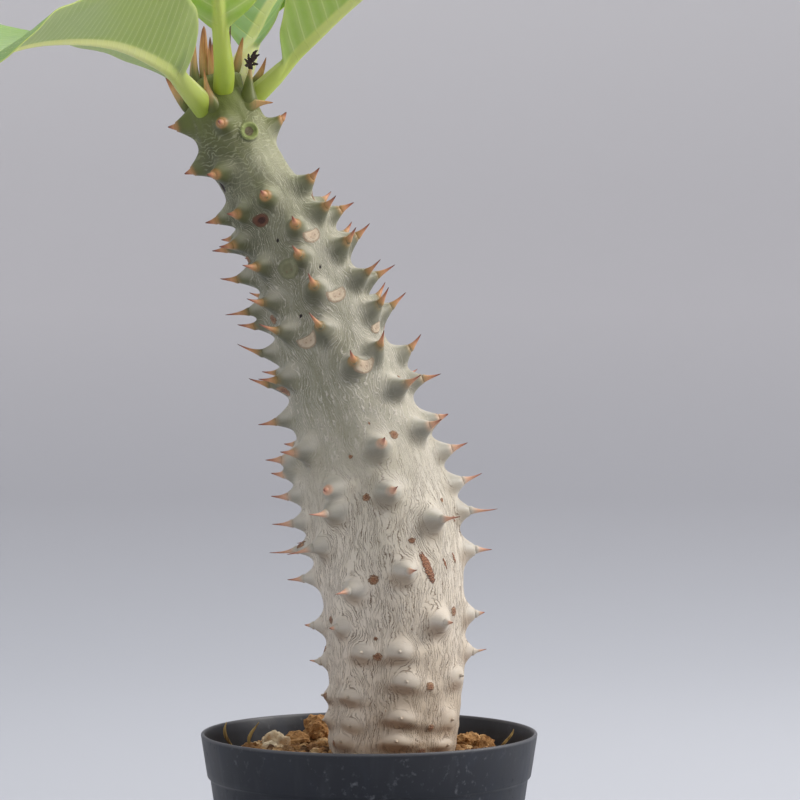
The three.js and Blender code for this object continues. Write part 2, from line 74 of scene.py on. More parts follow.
class Socket:
    def __init__(self, tree, plug):
        self.tree = tree
        self.plug = plug

    @staticmethod
    def node(tree, kind, settings=None, values=None, output=0):
        made = tree.nodes.new(kind)
        for key, value in (settings or {}).items():
            if key == "stops":
                ramp = made.color_ramp.elements
                while len(ramp) < len(value):
                    ramp.new(1)
                for stop, (place, paint) in zip(ramp, value):
                    stop.position = place
                    stop.color = paint
            else:
                setattr(made, key, value)
        for key, value in (values or {}).items():
            if isinstance(value, Socket):
                tree.links.new(value.plug, made.inputs[key])
            else:
                made.inputs[key].default_value = value
        return Socket(tree, made.outputs[output]) if made.outputs else None

    def combine(self, operation, first, second):
        isVector = any(isinstance(side, tuple) or isinstance(side, Socket) and side.plug.type == "VECTOR"
                       for side in (first, second))
        kind = "ShaderNodeVectorMath" if isVector else "ShaderNodeMath"
        return Socket.node(self.tree, kind, {"operation": operation}, {0: first, 1: second})

    def __add__(self, other):
        return self.combine("ADD", self, other)

    def __radd__(self, other):
        return self.combine("ADD", other, self)

    def __sub__(self, other):
        return self.combine("SUBTRACT", self, other)

    def __rsub__(self, other):
        return self.combine("SUBTRACT", other, self)

    def __mul__(self, other):
        return self.combine("MULTIPLY", self, other)

    def __rmul__(self, other):
        return self.combine("MULTIPLY", other, self)

    def __truediv__(self, other):
        return self.combine("DIVIDE", self, other)

    def __pow__(self, other):
        return self.combine("POWER", self, other)

    def __abs__(self):
        return self.maths("ABSOLUTE")

    def maths(self, operation, *others):
        values = dict(enumerate((self, *others)))
        return Socket.node(self.tree, "ShaderNodeMath", {"operation": operation}, values)

    def part(self, index):
        return Socket.node(self.tree, "ShaderNodeSeparateXYZ", {}, {0: self}, index)

    def length(self):
        return Socket.node(self.tree, "ShaderNodeVectorMath", {"operation": "LENGTH"}, {0: self}, "Value")

    # 0 below low, 1 above high, eased between them. High may lie below low.
    def ramp(self, low, high, atLow=0.0, atHigh=1.0):
        return Socket.node(self.tree, "ShaderNodeMapRange", {"interpolation_type": "SMOOTHSTEP"}, {
            "Value": self, "From Min": low, "From Max": high, "To Min": atLow, "To Max": atHigh})


def tone(red, green, blue):
    # A colour from 0 to 255, turned into the shader's own numbers
    linear = [c / 255 / 12.92 if c <= 10 else ((c / 255 + 0.055) / 1.055) ** 2.4 for c in (red, green, blue)]
    return (*linear, 1.0)


def mixed(amount, first, second, blend="MIX"):
    first, second = (tone(*side) if isinstance(side, tuple) else side for side in (first, second))
    return Socket.node(amount.tree, "ShaderNodeMix", {"data_type": "RGBA", "blend_type": blend},
                       {0: amount, 6: first, 7: second}, 2)


def toneRamp(amount, *stops):
    # Each stop is a place from 0 to 1 and the colour there
    stops = [(place, tone(*paint)) for place, *paint in stops]
    return Socket.node(amount.tree, "ShaderNodeValToRGB", {"stops": stops}, {"Fac": amount})


def coated(base, *coats):
    # Colours laid over a base one after another, each with how much there is of it
    for amount, paint in coats:
        base = mixed(amount, base, paint)
    return base


def attributes(tree, *names, output="Fac"):
    return [Socket.node(tree, "ShaderNodeAttribute", {"attribute_name": name}, output=output)
            for name in names]


def cloud(vector, scale, detail=2.0, roughness=0.5):
    return Socket.node(vector.tree, "ShaderNodeTexNoise", {}, {
        "Vector": vector, "Scale": scale, "Detail": detail, "Roughness": roughness})


def objectPlace(tree):
    return Socket.node(tree, "ShaderNodeTexCoord", output=3)


def newMaterial(name):
    material = bpy.data.materials.new(name)
    material.use_nodes = True
    material.node_tree.nodes.clear()
    return material, material.node_tree


def surface(tree, values, bump=None, strength=0.5, distance=0.0003):
    made = dict(values)
    if bump is not None:
        made["Normal"] = Socket.node(tree, "ShaderNodeBump", {}, {
            "Height": bump, "Strength": strength, "Distance": distance})
    shader = Socket.node(tree, "ShaderNodeBsdfPrincipled", {}, made)
    Socket.node(tree, "ShaderNodeOutputMaterial", {}, {"Surface": shader})


# Mesh helpers

def makePiece(name, points, faces, material, slot, nodes=(), marks=None, facets=False):
    mesh = bpy.data.meshes.new(name)
    mesh.from_pydata(np.asarray(points) * mm, [], faces)
    for key, values in (marks or {}).items():
        flat = np.asarray(values, dtype=np.float32)
        kind, field = ("FLOAT", "value") if flat.ndim == 1 else ("FLOAT_VECTOR", "vector")
        mesh.attributes.new(key, kind, "POINT").data.foreach_set(field, flat.ravel())
    mesh.materials.append(material)
    if not facets:
        mesh.shade_smooth()
    mesh.update()
    piece = bpy.data.objects.new(name, mesh)
    scene.collection.objects.link(piece)
    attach(piece, "root")
    if nodes:
        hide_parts(*nodes)
    return piece


def gridFaces(rows, columns):
    # Faces over rows of closed rings, each ring counter-clockwise about the way the rows advance
    faces = []
    for row in range(rows - 1):
        for column in range(columns):
            a = row * columns + column
            b = row * columns + (column + 1) % columns
            faces.append((a, b, b + columns, a + columns))
    return faces


def closedFaces(rows, columns):
    # The same, with a face over each end
    ends = [tuple(range(columns))[::-1], tuple(range((rows - 1) * columns, rows * columns))]
    return gridFaces(rows, columns) + ends


def joined(shapes):
    # Several shapes, each with its points and faces, as one
    faces = []
    start = 0
    for points, shapeFaces in shapes:
        faces += [tuple(i + start for i in face) for face in shapeFaces]
        start += len(points)
    return np.concatenate([points for points, _ in shapes]), faces


def turnsOf(sides):
    return np.arange(sides) * 2 * math.pi / sides


def tube(centres, widths, sides, x, y, flatness=1.0, twist=0.0):
    # Rings of points round a row of centres. They lie across x and y, and are flattened along y.
    turn = turnsOf(sides) + np.reshape(twist, (-1, 1))
    ring = np.cos(turn)[..., None] * x + flatness * np.sin(turn)[..., None] * y
    return (centres[:, None] + widths[:, None, None] * ring).reshape(-1, 3)


def lathe(profile, sides):
    # A profile of radii and heights turned round the upright axis
    turns = turnsOf(sides)
    ring = np.stack([np.cos(turns), np.sin(turns), np.zeros(sides)], -1)
    return np.concatenate([ring * radius + (0, 0, z) for radius, z in profile])


def unit(vectors):
    return vectors / np.linalg.norm(vectors, axis=-1, keepdims=True)


def ease(low, high, x):
    t = np.clip((x - low) / (high - low), 0, 1)
    return t * t * (3 - 2 * t)


def hump(x, width):
    return np.exp(-0.5 * (x / width) ** 2)


def smoothCurve(points, count=800):
    # Catmull-Rom points along a list of points, and how far each one is from the start
    p = np.array(points, float)
    p = np.vstack([2 * p[0] - p[1], p, 2 * p[-1] - p[-2]])
    t = np.linspace(0, len(points) - 1, count)
    i = np.minimum(t.astype(int), len(points) - 2)
    w = (t - i)[:, None]
    a, b, c, d = p[i], p[i + 1], p[i + 2], p[i + 3]
    curve = 0.5 * (2 * b + (c - a) * w + (2 * a - 5 * b + 4 * c - d) * w ** 2
                   + (3 * b - a - 3 * c + d) * w ** 3)
    steps = np.linalg.norm(np.diff(curve, axis=0), axis=1)
    return curve, np.concatenate([[0], np.cumsum(steps)])


def alongCurve(curve, length, places):
    # Points at places along a curve, and the curve's direction there
    slopes = np.gradient(curve, length, axis=0)
    centre, slope = (np.stack([np.interp(places, length, column) for column in values.T], -1)
                     for values in (curve, slopes))
    return centre, unit(slope)


def smoothProfile(table, x):
    # A smooth curve through [x, y] pairs
    knots, values = np.array(table, float).T
    before = np.maximum(np.arange(len(knots)) - 1, 0)
    after = np.minimum(np.arange(len(knots)) + 1, len(knots) - 1)
    slopes = (values[after] - values[before]) / (knots[after] - knots[before])
    x = np.clip(x, knots[0], knots[-1])
    i = np.clip(np.searchsorted(knots, x, side="right") - 1, 0, len(knots) - 2)
    width = knots[i + 1] - knots[i]
    t = (x - knots[i]) / width
    return (values[i] * (2 * t ** 3 - 3 * t ** 2 + 1) + slopes[i] * width * (t ** 3 - 2 * t ** 2 + t)
            + values[i + 1] * (3 * t ** 2 - 2 * t ** 3) + slopes[i + 1] * width * (t ** 3 - t ** 2))


def turned(angle):
    return (angle + 180) % 360 - 180


def seeded(seed):
    # A number from 0 to 1 that is always the same for the same seed
    x = math.sin(seed * 12.9898 + 78.233) * 43758.5453
    return x - math.floor(x)


# Stem

stem = {
    "soil": 84.5,  # height of the soil's surface
    "axis": [  # from the buried tip to the growing point
        (6.2, 0, 46), (6.8, 0, 66), (7, 0, 86), (8.4, 0.5, 113), (5.8, 1.5, 148), (-3.3, 2.5, 186),
        (-15.6, 2.5, 223.5), (-27, 1.5, 249), (-40.4, 0, 273.7), (-45.8, -0.8, 286.5), (-47.8, -1.2, 295),
    ],
    "profile": [  # height along the stem above the soil, radius
        (-38, 3), (-34, 8), (-24, 14), (-10, 18), (0, 19.2), (12, 20.2), (38, 21.4), (63, 22.6), (76, 22),
        (89, 21), (102, 19.4), (115, 18), (128, 16.6), (141, 15.4), (162, 14.2), (178, 12.3), (190, 10.9),
        (206, 11.1), (213, 10.4), (218, 8),
    ],
    "sides": 240,
    "step": 0.55,
    "buriedStep": 2.5,  # under the soil the rings are further apart
    "fineFrom": -6,
    "topRise": 2.6,  # the growing point is a low dome
    "topRings": 8,
    "uneven": [(0.35, 8), (0.14, 2.6)],  # how far the skin goes in and out, and how broad that is
    # Low ridges round the foot: height, rise, half its height, and the side that it is highest on
    "ridges": [(33, 0.5, 1.7, -10), (24, 0.7, 1.6, 35), (17.5, 0.6, 1.5, -60), (12, 0.9, 1.6, 25),
               (5, 0.8, 1.5, 10)],
    # Height of a spine along the stem: its cushion's height, width across and width along
    "cushions": [
        (0, 1.2, 3.9, 1.7), (34, 2.2, 3.7, 2.4), (44, 2.8, 3.4, 2.9), (80, 3.2, 3.6, 3.2),
        (112, 2.6, 3.2, 3.0), (150, 2.2, 2.9, 2.9), (205, 1.9, 2.6, 2.7), (218, 1.0, 2.2, 2.4),
    ],
    "cushionReach": 14,
    "cushionPush": 1.7,  # how far the skin's lines make room for a cushion or a scar, as a share of its size
    "scarPush": 1.1,
}

# Spines of the front half: height along the stem, angle round it (0 is the front, 90 the right), tilt
# towards the growing point and length. A worn spine has length 0.
frontSpines = [
    (211, -88, 14, 6), (207, -3, -8, 6), (200, 88, 25, 6), (199, -88, 2, 6), (194, -40, 11, 6),
    (182, -88, 12, 7), (180, -38, 12, 7), (180, 3, 20, 6), (179, 63, 15, 7.5), (172, -88, 12, 8),
    (172, -61, 12, 7.5), (170, 55, 7, 8.5), (168, 88, -2, 8), (168, 16, 20, 7.5), (162, -41, 14, 8.5),
    (161, -88, 21, 9), (159, 6, 20, 8.5), (158, 88, 12, 9), (157, 57, 25, 8.5), (150, -88, 10, 11),
    (150, -49, 18, 9.5), (148, 6, 29, 8.5), (147, 62, 11, 10.5), (146, 88, 2, 10), (144, -96, 20, 9),
    (139, -41, 22, 10.5), (136, 61, 33, 9.5), (135, -1, 38, 9.5), (135, 88, 20, 10), (134, -88, 30, 12),
    (125, -59, 12, 9.5), (124, -88, 25, 10), (124, 41, 30, 9.5), (122, 15, 24, 8.5), (121, 88, 25, 9),
    (113, 88, -10, 9), (113, -88, 1, 9), (112, 50, 3, 9.5), (101, -56, 10, 7.5), (100, 88, -2, 6),
    (100, -87, 11, 8), (98, 59, 5, 7), (95, -94, 14, 7), (96, 13, 15, 6), (90, 88, -2, 8),
    (88, -87, 8, 8), (87, -30, 1, 4), (82, 10, -5, 7.5), (80, -34, -4, 9.5), (80, 88, 0, 9),
    (79, -88, 5, 9), (72, 88, -18, 11), (71, 42, -8, 9.5), (70, -88, -4, 11), (70, -55, -9, 10.5),
    (61, 88, -12, 7), (59, -83, -2, 7), (58, 11, -10, 7), (54, -29, -12, 7.5), (43, 84, 0, 4),
    (42, 38, -10, 4), (42, -88, 0, 4), (42, -45, -10, 4), (34, -26, 0, 0), (34, 3, 0, 0), (32, 88, 0, 5),
    (30, -88, 0, 4), (26, 60, 0, 0), (25, 8, 0, 0), (19, -40, 0, 0), (18, -77, 0, 0), (14, 5, 0, 0),
    (14, 53, 0, 0), (10, -38, 0, 0), (10, -75, 0, 0), (7, 3, 0, 0), (6, 52, 0, 0), (5, -48, 0, 0),
]

# Leaf scars of the front half: height, angle, size and kind
frontScars = [
    (202, 29, 3.0, "ring"), (191.5, -66, 2.3, "black"), (175.5, -21, 2.4, "woody"), (175, 75, 1.72, "cork"),
    (166.5, -79, 1.4, "cork"), (164.5, 31, 2.5, "pad"), (158, -14, 3.2, "green"), (145, -68, 1.79, "cork"),
    (145, 27, 2.7, "pad"), (134.5, -22, 2.8, "pad"), (131.5, 62, 2.0, "pad"), (121.5, -78, 1.72, "cork"),
    (121, 23, 2.5, "pad"), (114.5, 64, 1.25, "cork"), (98.5, 31, 1.48, "cork"), (95.5, -12, 0.7, "cork"),
    (82, -7, 1.17, "cork"), (76, 62, 0.78, "cork"), (71.5, -85, 1.25, "cork"), (66.5, 21, 1.09, "cork"),
    (58, 31, 3.4, "bark"), (58.5, 49, 1.1, "bark"), (59.5, 63, 1.2, "bark"),
    (56.5, -13, 1.56, "cork"), (44.5, 57, 1.56, "cork"), (44, -64, 1.33, "cork"),
    (38, -16, 0.62, "cork"), (34, -88, 1.25, "cork"), (32.5, -14, 1.33, "cork"), (23.5, 29, 1.33, "cork"),
    (18, -73, 1.17, "cork"), (11.5, 33, 1.09, "cork"), (9.5, -82, 0.94, "cork"), (4, 27, 1.25, "cork"),
    (4, -60, 1.01, "cork"), (154.5, 22, 0.45, "black"), (142.5, -22, 0.5, "black"),
    (167.5, -12, 0.5, "black"), (104, 12, 0.5, "bark"), (70, 74, 0.7, "bark"), (16, -8, 0.4, "bark"),
]
farSide = {"lift": 2.5, "widest": 62}
noScar = 9.0  # how far away a scar is where there is none


def withFarSide(rows):
    # Rows of height, angle and more. Those of the front come again behind, half a turn round and higher.
    return rows + [(height + farSide["lift"], turned(180 - angle), *more)
                   for height, angle, *more in rows if abs(angle) < farSide["widest"]]


spines = withFarSide(frontSpines)
scars = withFarSide(frontScars)

# A kind's number in the shader, its width and height to its size, its lean, rim and rise
scarForms = {
    "cork": (0.0, 1.0, 0.9, 0, 0.12, 0.3),
    "bark": (0.15, 0.4, 1.45, 22, 0.1, 0.35),
    "pad": (0.35, 1.25, 0.9, 6, 0.2, 0.25),
    "green": (0.5, 1.0, 1.0, 0, 0.25, 0.3),
    "ring": (0.65, 1.0, 0.95, 0, 0.8, -0.2),
    "woody": (0.8, 1.0, 0.85, 0, 0.3, -0.4),
    "black": (1.0, 0.8, 1.2, -30, 0.1, -0.4),
}

axisPoints, axisPlaces = smoothCurve(stem["axis"])
buriedLength = np.interp(stem["soil"], axisPoints[:, 2], axisPlaces)
stemTop = axisPlaces[-1] - buriedLength


def stemFrame(height):
    centre, along = alongCurve(axisPoints, axisPlaces, np.asarray(height, float) + buriedLength)
    front = unit(np.array([0, -1, 0]) + along * along[..., 1:2])
    return centre, along, front, np.cross(along, front)


def pushAside(side, up, reach):
    # How far the skin's lines are pushed to the side by a spot that they flow round
    away = side ** 2 + up ** 2
    return side * reach ** 2 / (away + 0.35 * reach ** 2) * np.exp(-away / (3 * reach) ** 2)


def skin(height, angle):
    # The skin's distance from the axis at each height and angle, with what lies on it there
    plain = smoothProfile(stem["profile"], height)
    heights, *sizes = np.array(stem["cushions"], float).T
    raised = np.zeros_like(plain)
    cushion = np.zeros_like(plain)
    pushed = np.zeros_like(plain)
    for spineHeight, spineAngle, *_ in spines:
        rise, width, length = (np.interp(spineHeight, heights, column) for column in sizes)
        side = np.radians(turned(angle - spineAngle)) * plain
        up = height - spineHeight
        near = np.abs(up) < stem["cushionReach"]
        spot = np.where(near, np.exp(-0.5 * ((side / width) ** 2 + (up / length) ** 2) ** 1.15), 0)
        raised += rise * spot
        cushion = np.maximum(cushion, spot)
        pushed -= np.where(near, pushAside(side, up, stem["cushionPush"] * length), 0)
    for ridgeHeight, rise, half, side in stem["ridges"]:
        waver = 1.2 * np.sin(np.radians(2 * angle + 9 * ridgeHeight))
        broad = np.cos(np.radians(angle - side))
        narrow = np.cos(np.radians(2.3 * turned(angle - side)))
        raised += rise * (0.55 + 0.45 * broad * narrow) * hump(height - ridgeHeight - waver, half)
    scarAway = np.full_like(plain, noScar)
    scarPlace = np.zeros((*plain.shape, 3))
    for scarHeight, scarAngle, size, kind in scars:
        number, wide, tall, lean, rim, rise = scarForms[kind]
        side = np.radians(turned(angle - scarAngle)) * plain
        up = height - scarHeight
        lean = math.radians(lean)
        u = (side * math.cos(lean) + up * math.sin(lean)) / (size * wide)
        v = (up * math.cos(lean) - side * math.sin(lean)) / (size * tall)
        away = np.hypot(u, v)
        raised += rim * hump(away - 0.88, 0.15) + rise * ease(1.05, 0.6, away)
        nearer = away < scarAway
        scarAway = np.where(nearer, away, scarAway)
        scarPlace[nearer] = np.stack([u, v, np.full_like(u, number)], -1)[nearer]
        pushed -= pushAside(side, up, stem["scarPush"] * size)
    return {
        "radius": plain + raised, "cushion": cushion, "scarAway": scarAway, "scarPlace": scarPlace,
        "round": np.radians(angle) + pushed / plain,
    }


thorn = {
    # Height of a spine along the stem: its radius at the foot, and the height in which it narrows to a third
    "flare": [(0, 2.2, 0.9), (36, 2.6, 1.1), (46, 3.2, 1.8), (80, 4.0, 2.5), (120, 4.5, 3.0),
              (218, 4.4, 3.1)],
    "skinTo": 1.4,  # the skin rises into the flare up to this radius
    "foot": 2.0,  # the needle starts inside the flare, where the flare has this radius
    "inside": 0.7,  # the needle's share of that radius
    "thin": 0.32,  # what the needle adds to the flare's radius
    "tip": 0.03,
    "sides": 14,
    "rings": 18,
    "flatness": 0.92,
    "bend": 0.12,
    "stray": 0.25,
    "longEnough": 8,  # a spine shorter than this takes on its colours nearer to the tip
    "shadedLeft": 0.7,  # how much more a slope to the left counts than one that faces down
    # Height of a spine that faces forwards: how much further than in the table it leans up and to the side.
    # Above 0 the side is its own side, below 0 it is the left.
    "leanOn": [(0, 0.1, 0.45), (95, 0.15, 0.4), (112, 0.3, -0.25), (218, 0.3, -0.25)],
    "wornLength": 1.7,
    "wornFoot": 0.6,
    "wornRipe": 0.2,
}


def stemPoint(height, angle):
    centre, along, front, right = stemFrame(height)
    outward = front * math.cos(math.radians(angle)) + right * math.sin(math.radians(angle))
    radius = float(skin(np.array([float(height)]), np.array([float(angle)]))["radius"][0])
    return centre + outward * radius, outward, along


def flowOf(turn, height):
    # The place on the stem rolled out straight: the skin's lines follow it
    return np.stack([18 * np.cos(turn), 18 * np.sin(turn), height], -1)


def stemSkin(material):
    heights = np.concatenate([
        np.arange(-buriedLength + 0.01, stem["fineFrom"], stem["buriedStep"]),
        np.arange(stem["fineFrom"], stemTop, stem["step"]), [stemTop]])
    angles = np.arange(stem["sides"]) * 360 / stem["sides"]
    height, angle = np.meshgrid(heights, angles, indexing="ij")
    field = skin(height, angle)
    rolled = flowOf(np.radians(angle), height).reshape(-1, 3)
    uneven = [sum(rise * noise.noise(Vector(p) / size) for rise, size in stem["uneven"]) for p in rolled]
    radius = field["radius"] + np.reshape(uneven, height.shape)
    centre, along, front, right = stemFrame(heights)
    turn = np.radians(angles)
    outward = front[:, None] * np.cos(turn)[None, :, None] + right[:, None] * np.sin(turn)[None, :, None]
    points = centre[:, None] + outward * radius[..., None]
    plain = smoothProfile(stem["profile"], height)
    spineShare = np.zeros_like(height)
    for seed, spine in enumerate(spines):
        spineHeight, spineAngle, _, length = spine
        if length == 0:
            continue
        _, direction, _, _ = spineFrame(spine, seed)
        foot, fall = flareOf(spineHeight)
        near = np.abs(height - spineHeight) < 2.2 * foot
        side = np.radians(turned(angle - spineAngle)) * plain
        away = np.hypot(side, height - spineHeight)
        rise = fall * np.log(foot / np.maximum(away, thorn["skinTo"]))
        rise = np.where(near, 0.25 * np.logaddexp(0, rise / 0.25), 0)
        points += rise[..., None] * direction
        spineShare = np.maximum(spineShare, ripeness(rise, length))
    upwards = np.gradient(field["radius"] - plain, heights, axis=0)
    rightwards = (np.roll(field["radius"], -1, 1) - np.roll(field["radius"], 1, 1)) / (2 * turn[1] * plain)
    marks = {
        "cushion": field["cushion"], "scarAway": field["scarAway"], "scarPlace": field["scarPlace"],
        "spine": spineShare, "flow": flowOf(field["round"], height), "height": height / stemTop,
        # shaded drives painted shade where it is above 0 and a painted highlight where it is below 0
        "shaded": upwards + thorn["shadedLeft"] * rightwards,  # above 0 the skin faces down or left
    }
    rows = [points]
    for part in np.linspace(0.15, 0.98, stem["topRings"]) * math.pi / 2:
        inwards = (points[-1:] - centre[-1]) * math.cos(part)
        rows.append(centre[-1] + inwards + along[-1] * stem["topRise"] * math.sin(part))
    for key, values in marks.items():
        values = np.concatenate([values] + [values[-1:]] * stem["topRings"])
        marks[key] = values.reshape(-1, *values.shape[2:])
    points = np.concatenate(rows)
    faces = closedFaces(len(points), len(angles))
    makePiece("stemSkin", points.reshape(-1, 3), faces, material, "stem", ("stem",), marks)


def spineFrame(spine, seed):
    # Where a spine stands, its direction, and the way it bends
    height, angle, tilt, _ = spine
    point, outward, along = stemPoint(height, angle)
    lean = math.radians(tilt)
    sideways = np.cross(along, outward)
    heights, rises, swings = np.array(thorn["leanOn"], float).T
    facing = math.cos(math.radians(angle)) ** 4
    rise = facing * np.interp(height, heights, rises)
    swing = facing * np.interp(height, heights, swings)
    swing = swing * math.copysign(1, angle) if swing > 0 else swing
    direction = unit(outward * math.cos(lean) + along * (math.sin(lean) + rise)
                     + sideways * (thorn["stray"] * (seeded(seed) - 0.5) + swing))
    x = -unit(np.cross(sideways, direction))
    return point, direction, x, np.cross(direction, x)


def flareOf(height):
    # A spine's radius at its foot, and how fast it narrows
    heights, feet, falls = np.array(thorn["flare"], float).T
    return np.interp(height, heights, feet), np.interp(height, heights, falls)


def ripeness(out, length):
    # How far the colours of a spine have come at a distance from its foot: later on a short spine
    return (out / length) ** max(1, thorn["longEnough"] / length)


def needle(spine, seed):
    # A spine's foot, its points outside its flare as seen from the foot, and how ripe each ring is
    height, _, _, length = spine
    point, direction, x, y = spineFrame(spine, seed)
    foot, fall = flareOf(height)
    start = max(0.1, fall * math.log(foot / thorn["foot"]))
    out = fall * math.log(foot / thorn["skinTo"])
    z = np.linspace(start, length, thorn["rings"])
    free = ease(start, out + 0.3, z)
    width = foot * np.exp(-z / fall) * (thorn["inside"] + (1 - thorn["inside"]) * free)
    width = (width + thorn["thin"] * free) * np.sqrt(np.maximum(1 - z / length, 0)) + thorn["tip"]
    bend = thorn["bend"] * (0.5 + 1.1 * seeded(seed + 0.5))
    centres = (bend * np.maximum(z - start, 0) ** 2 / length)[:, None] * x + z[:, None] * direction
    return point, tube(centres, width, thorn["sides"], x, y, thorn["flatness"]), ripeness(z, length)


def wornSpine(spine, seed):
    # The same for what is left of an old spine, a blunt pale stub
    height, angle, _, _ = spine
    point, outward, along = stemPoint(height, angle)
    t = np.linspace(0, 1, thorn["rings"])
    z = (t - 0.4) * thorn["wornLength"] * (0.8 + 0.4 * seeded(seed))
    width = thorn["wornFoot"] * np.sqrt(np.maximum(1 - t ** 2, 0.001))
    points = tube(z[:, None] * outward, width, thorn["sides"], along, np.cross(outward, along))
    return point, points, np.full(thorn["rings"], thorn["wornRipe"])


def plainMarks(count):
    return {"cushion": np.ones(count), "scarAway": np.full(count, noScar)}


def stemSpines(material):
    shapes, ripe, heights, flows = [], [], [], []
    for seed, spine in enumerate(spines):
        height, angle, _, length = spine
        foot, points, ripeHere = needle(spine, seed) if length else wornSpine(spine, seed)
        shapes.append((foot + points, closedFaces(thorn["rings"], thorn["sides"])))
        ripe.append(np.repeat(ripeHere, thorn["sides"]))
        heights.append(np.full(len(points), height / stemTop))
        flows.append(flowOf(math.radians(angle), height) + points)
    points, faces = joined(shapes)
    makePiece("stemSpines", points, faces, material, "stem", ("stem",), {
        "spine": np.concatenate(ripe), "height": np.concatenate(heights), "flow": np.concatenate(flows),
        **plainMarks(len(points))})


# Young spines and sheaths round the growing point: foot, tip, radius, flatness, bend, how hollow the flanks
# are and how ripe it is
buds = [
    ((-46.0, -8.0, 283.4), (-50.6, -13.5, 297.4), 4.2, 0.9, 0.8, 2.0, 0.45),
    ((-53.0, -4, 288.5), (-54, -5, 307.0), 2.4, 0.8, 0.5, 0.9, 0.35),
    ((-49.4, -3, 289.5), (-51.4, -4, 312.0), 2.4, 0.55, 0.4, 0.5, 0.5),
    ((-47.6, -4, 290), (-49.4, -5, 308.5), 1.8, 0.6, 0.3, 0.7, 0.6),
    ((-42.0, 0, 292), (-43.2, -1, 313.5), 1.3, 0.7, 0.5, 1.2, 0.85),
    ((-41.6, 1, 291), (-39.6, 2.5, 309.5), 2.1, 0.6, 0.4, 0.7, 0.4),
    ((-37.5, -5.6, 286.2), (-36.6, -7, 300.0), 4.1, 1, 0.2, 1.7, 0.2),
    ((-37.2, 0, 293), (-32.2, -0.5, 302.7), 2.0, 0.8, -0.6, 1.1, 0.5),
    ((-40.2, -6.5, 285.2), (-29.6, -8.5, 287.6), 4.2, 0.8, 0.9, 2.0, 0.4),
    ((-54.5, 1, 285), (-64.0, 2, 297.0), 2.6, 0.8, 0.3, 0.9, 0.5),
    ((-51, 6, 288), (-54.5, 10.5, 301), 3.2, 0.8, 0.6, 1.6, 0.4),
    ((-44.5, 8, 286), (-43.5, 14.5, 296.5), 3.6, 0.9, 0.6, 2.0, 0.35),
    ((-38.8, 5.5, 286), (-32.5, 10.5, 294.5), 3.5, 0.9, 0.6, 2.0, 0.35),
    ((-47.5, 3, 293), (-49, 4, 309), 2.0, 0.6, 0.4, 1.0, 0.55),
]
budForm = {"sides": 20, "rings": 24, "ripening": 0.85, "height": 0.97, "tip": 0.05}


def taper(foot, tip, radius, flatness, bend, hollow):
    # A pointed body from foot to tip, widest near its foot
    foot = np.array(foot, float)
    along = np.array(tip, float) - foot
    length = np.linalg.norm(along)
    side = unit(np.cross(along, (0.3, -1, 0.2)))
    front = unit(np.cross(side, along))
    t = np.linspace(0, 1, budForm["rings"])
    width = radius * (0.8 * (1 - t) ** hollow + 0.2 * np.sqrt(1 - t)) * (0.7 + 0.3 * ease(0, 0.25, t))
    centres = foot + t[:, None] * along + (bend * np.sin(math.pi * t) * length / 10)[:, None] * -side
    points = tube(centres, width + budForm["tip"], budForm["sides"], side, front, flatness)
    return points, closedFaces(budForm["rings"], budForm["sides"])


def makeBuds(material):
    points, faces = joined([taper(*form) for *form, _ in buds])
    t = np.repeat(np.linspace(0, 1, budForm["rings"]), budForm["sides"])
    share = [np.clip(ripe + budForm["ripening"] * (t - 0.5), 0, 1) for *_, ripe in buds]
    heights = np.full(len(points), budForm["height"])
    makePiece("crownBuds", points, faces, material, "stem", ("stem",), {
        "spine": np.concatenate(share), "height": heights, "flow": points, **plainMarks(len(points))})


# The withered flower stalk on the round bud: short crooked twigs, each from foot to tip with its radius
twigs = [
    ((-36.7, -7, 298.2), (-36.2, -7.3, 302.0), 0.9), ((-36.4, -7.2, 300.4), (-33.9, -7.9, 302.6), 0.8),
    ((-36.3, -7.1, 300.2), (-38.6, -7.6, 301.2), 0.7), ((-36.2, -7.2, 301.0), (-34.6, -6.4, 304.2), 0.7),
    ((-36.6, -7.0, 300.6), (-37.4, -6.2, 303.2), 0.6), ((-36.0, -7.2, 299.6), (-34.4, -8.2, 299.4), 0.6),
    ((-36.8, -7.1, 299.8), (-38.4, -8.2, 299.2), 0.6),
]
stalk = {"form": (0.8, 1.2, 0.5), "roughness": 0.35, "grain": 1.7}  # form: flatness, bend, hollow


def makeStalk(material):
    shapes = []
    for twig in twigs:
        points, faces = taper(*twig, *stalk["form"])
        rough = np.array([noise.noise(Vector(p) * stalk["grain"]) for p in points]) * stalk["roughness"]
        shapes.append((points + rough[:, None] * unit(points - points.mean(0)), faces))
    makePiece("witheredStalk", *joined(shapes), material, "stem", ("stem",))


def stalkMaterial():
    material, tree = newMaterial("witheredBlack")
    where = objectPlace(tree)
    rough = cloud(where, 1800, 3, 0.6)
    surface(tree, {"Base Color": mixed(rough, (26, 20, 22), (70, 46, 40)), "Roughness": 0.75},
            rough, 0.7, 0.0003)
    return material


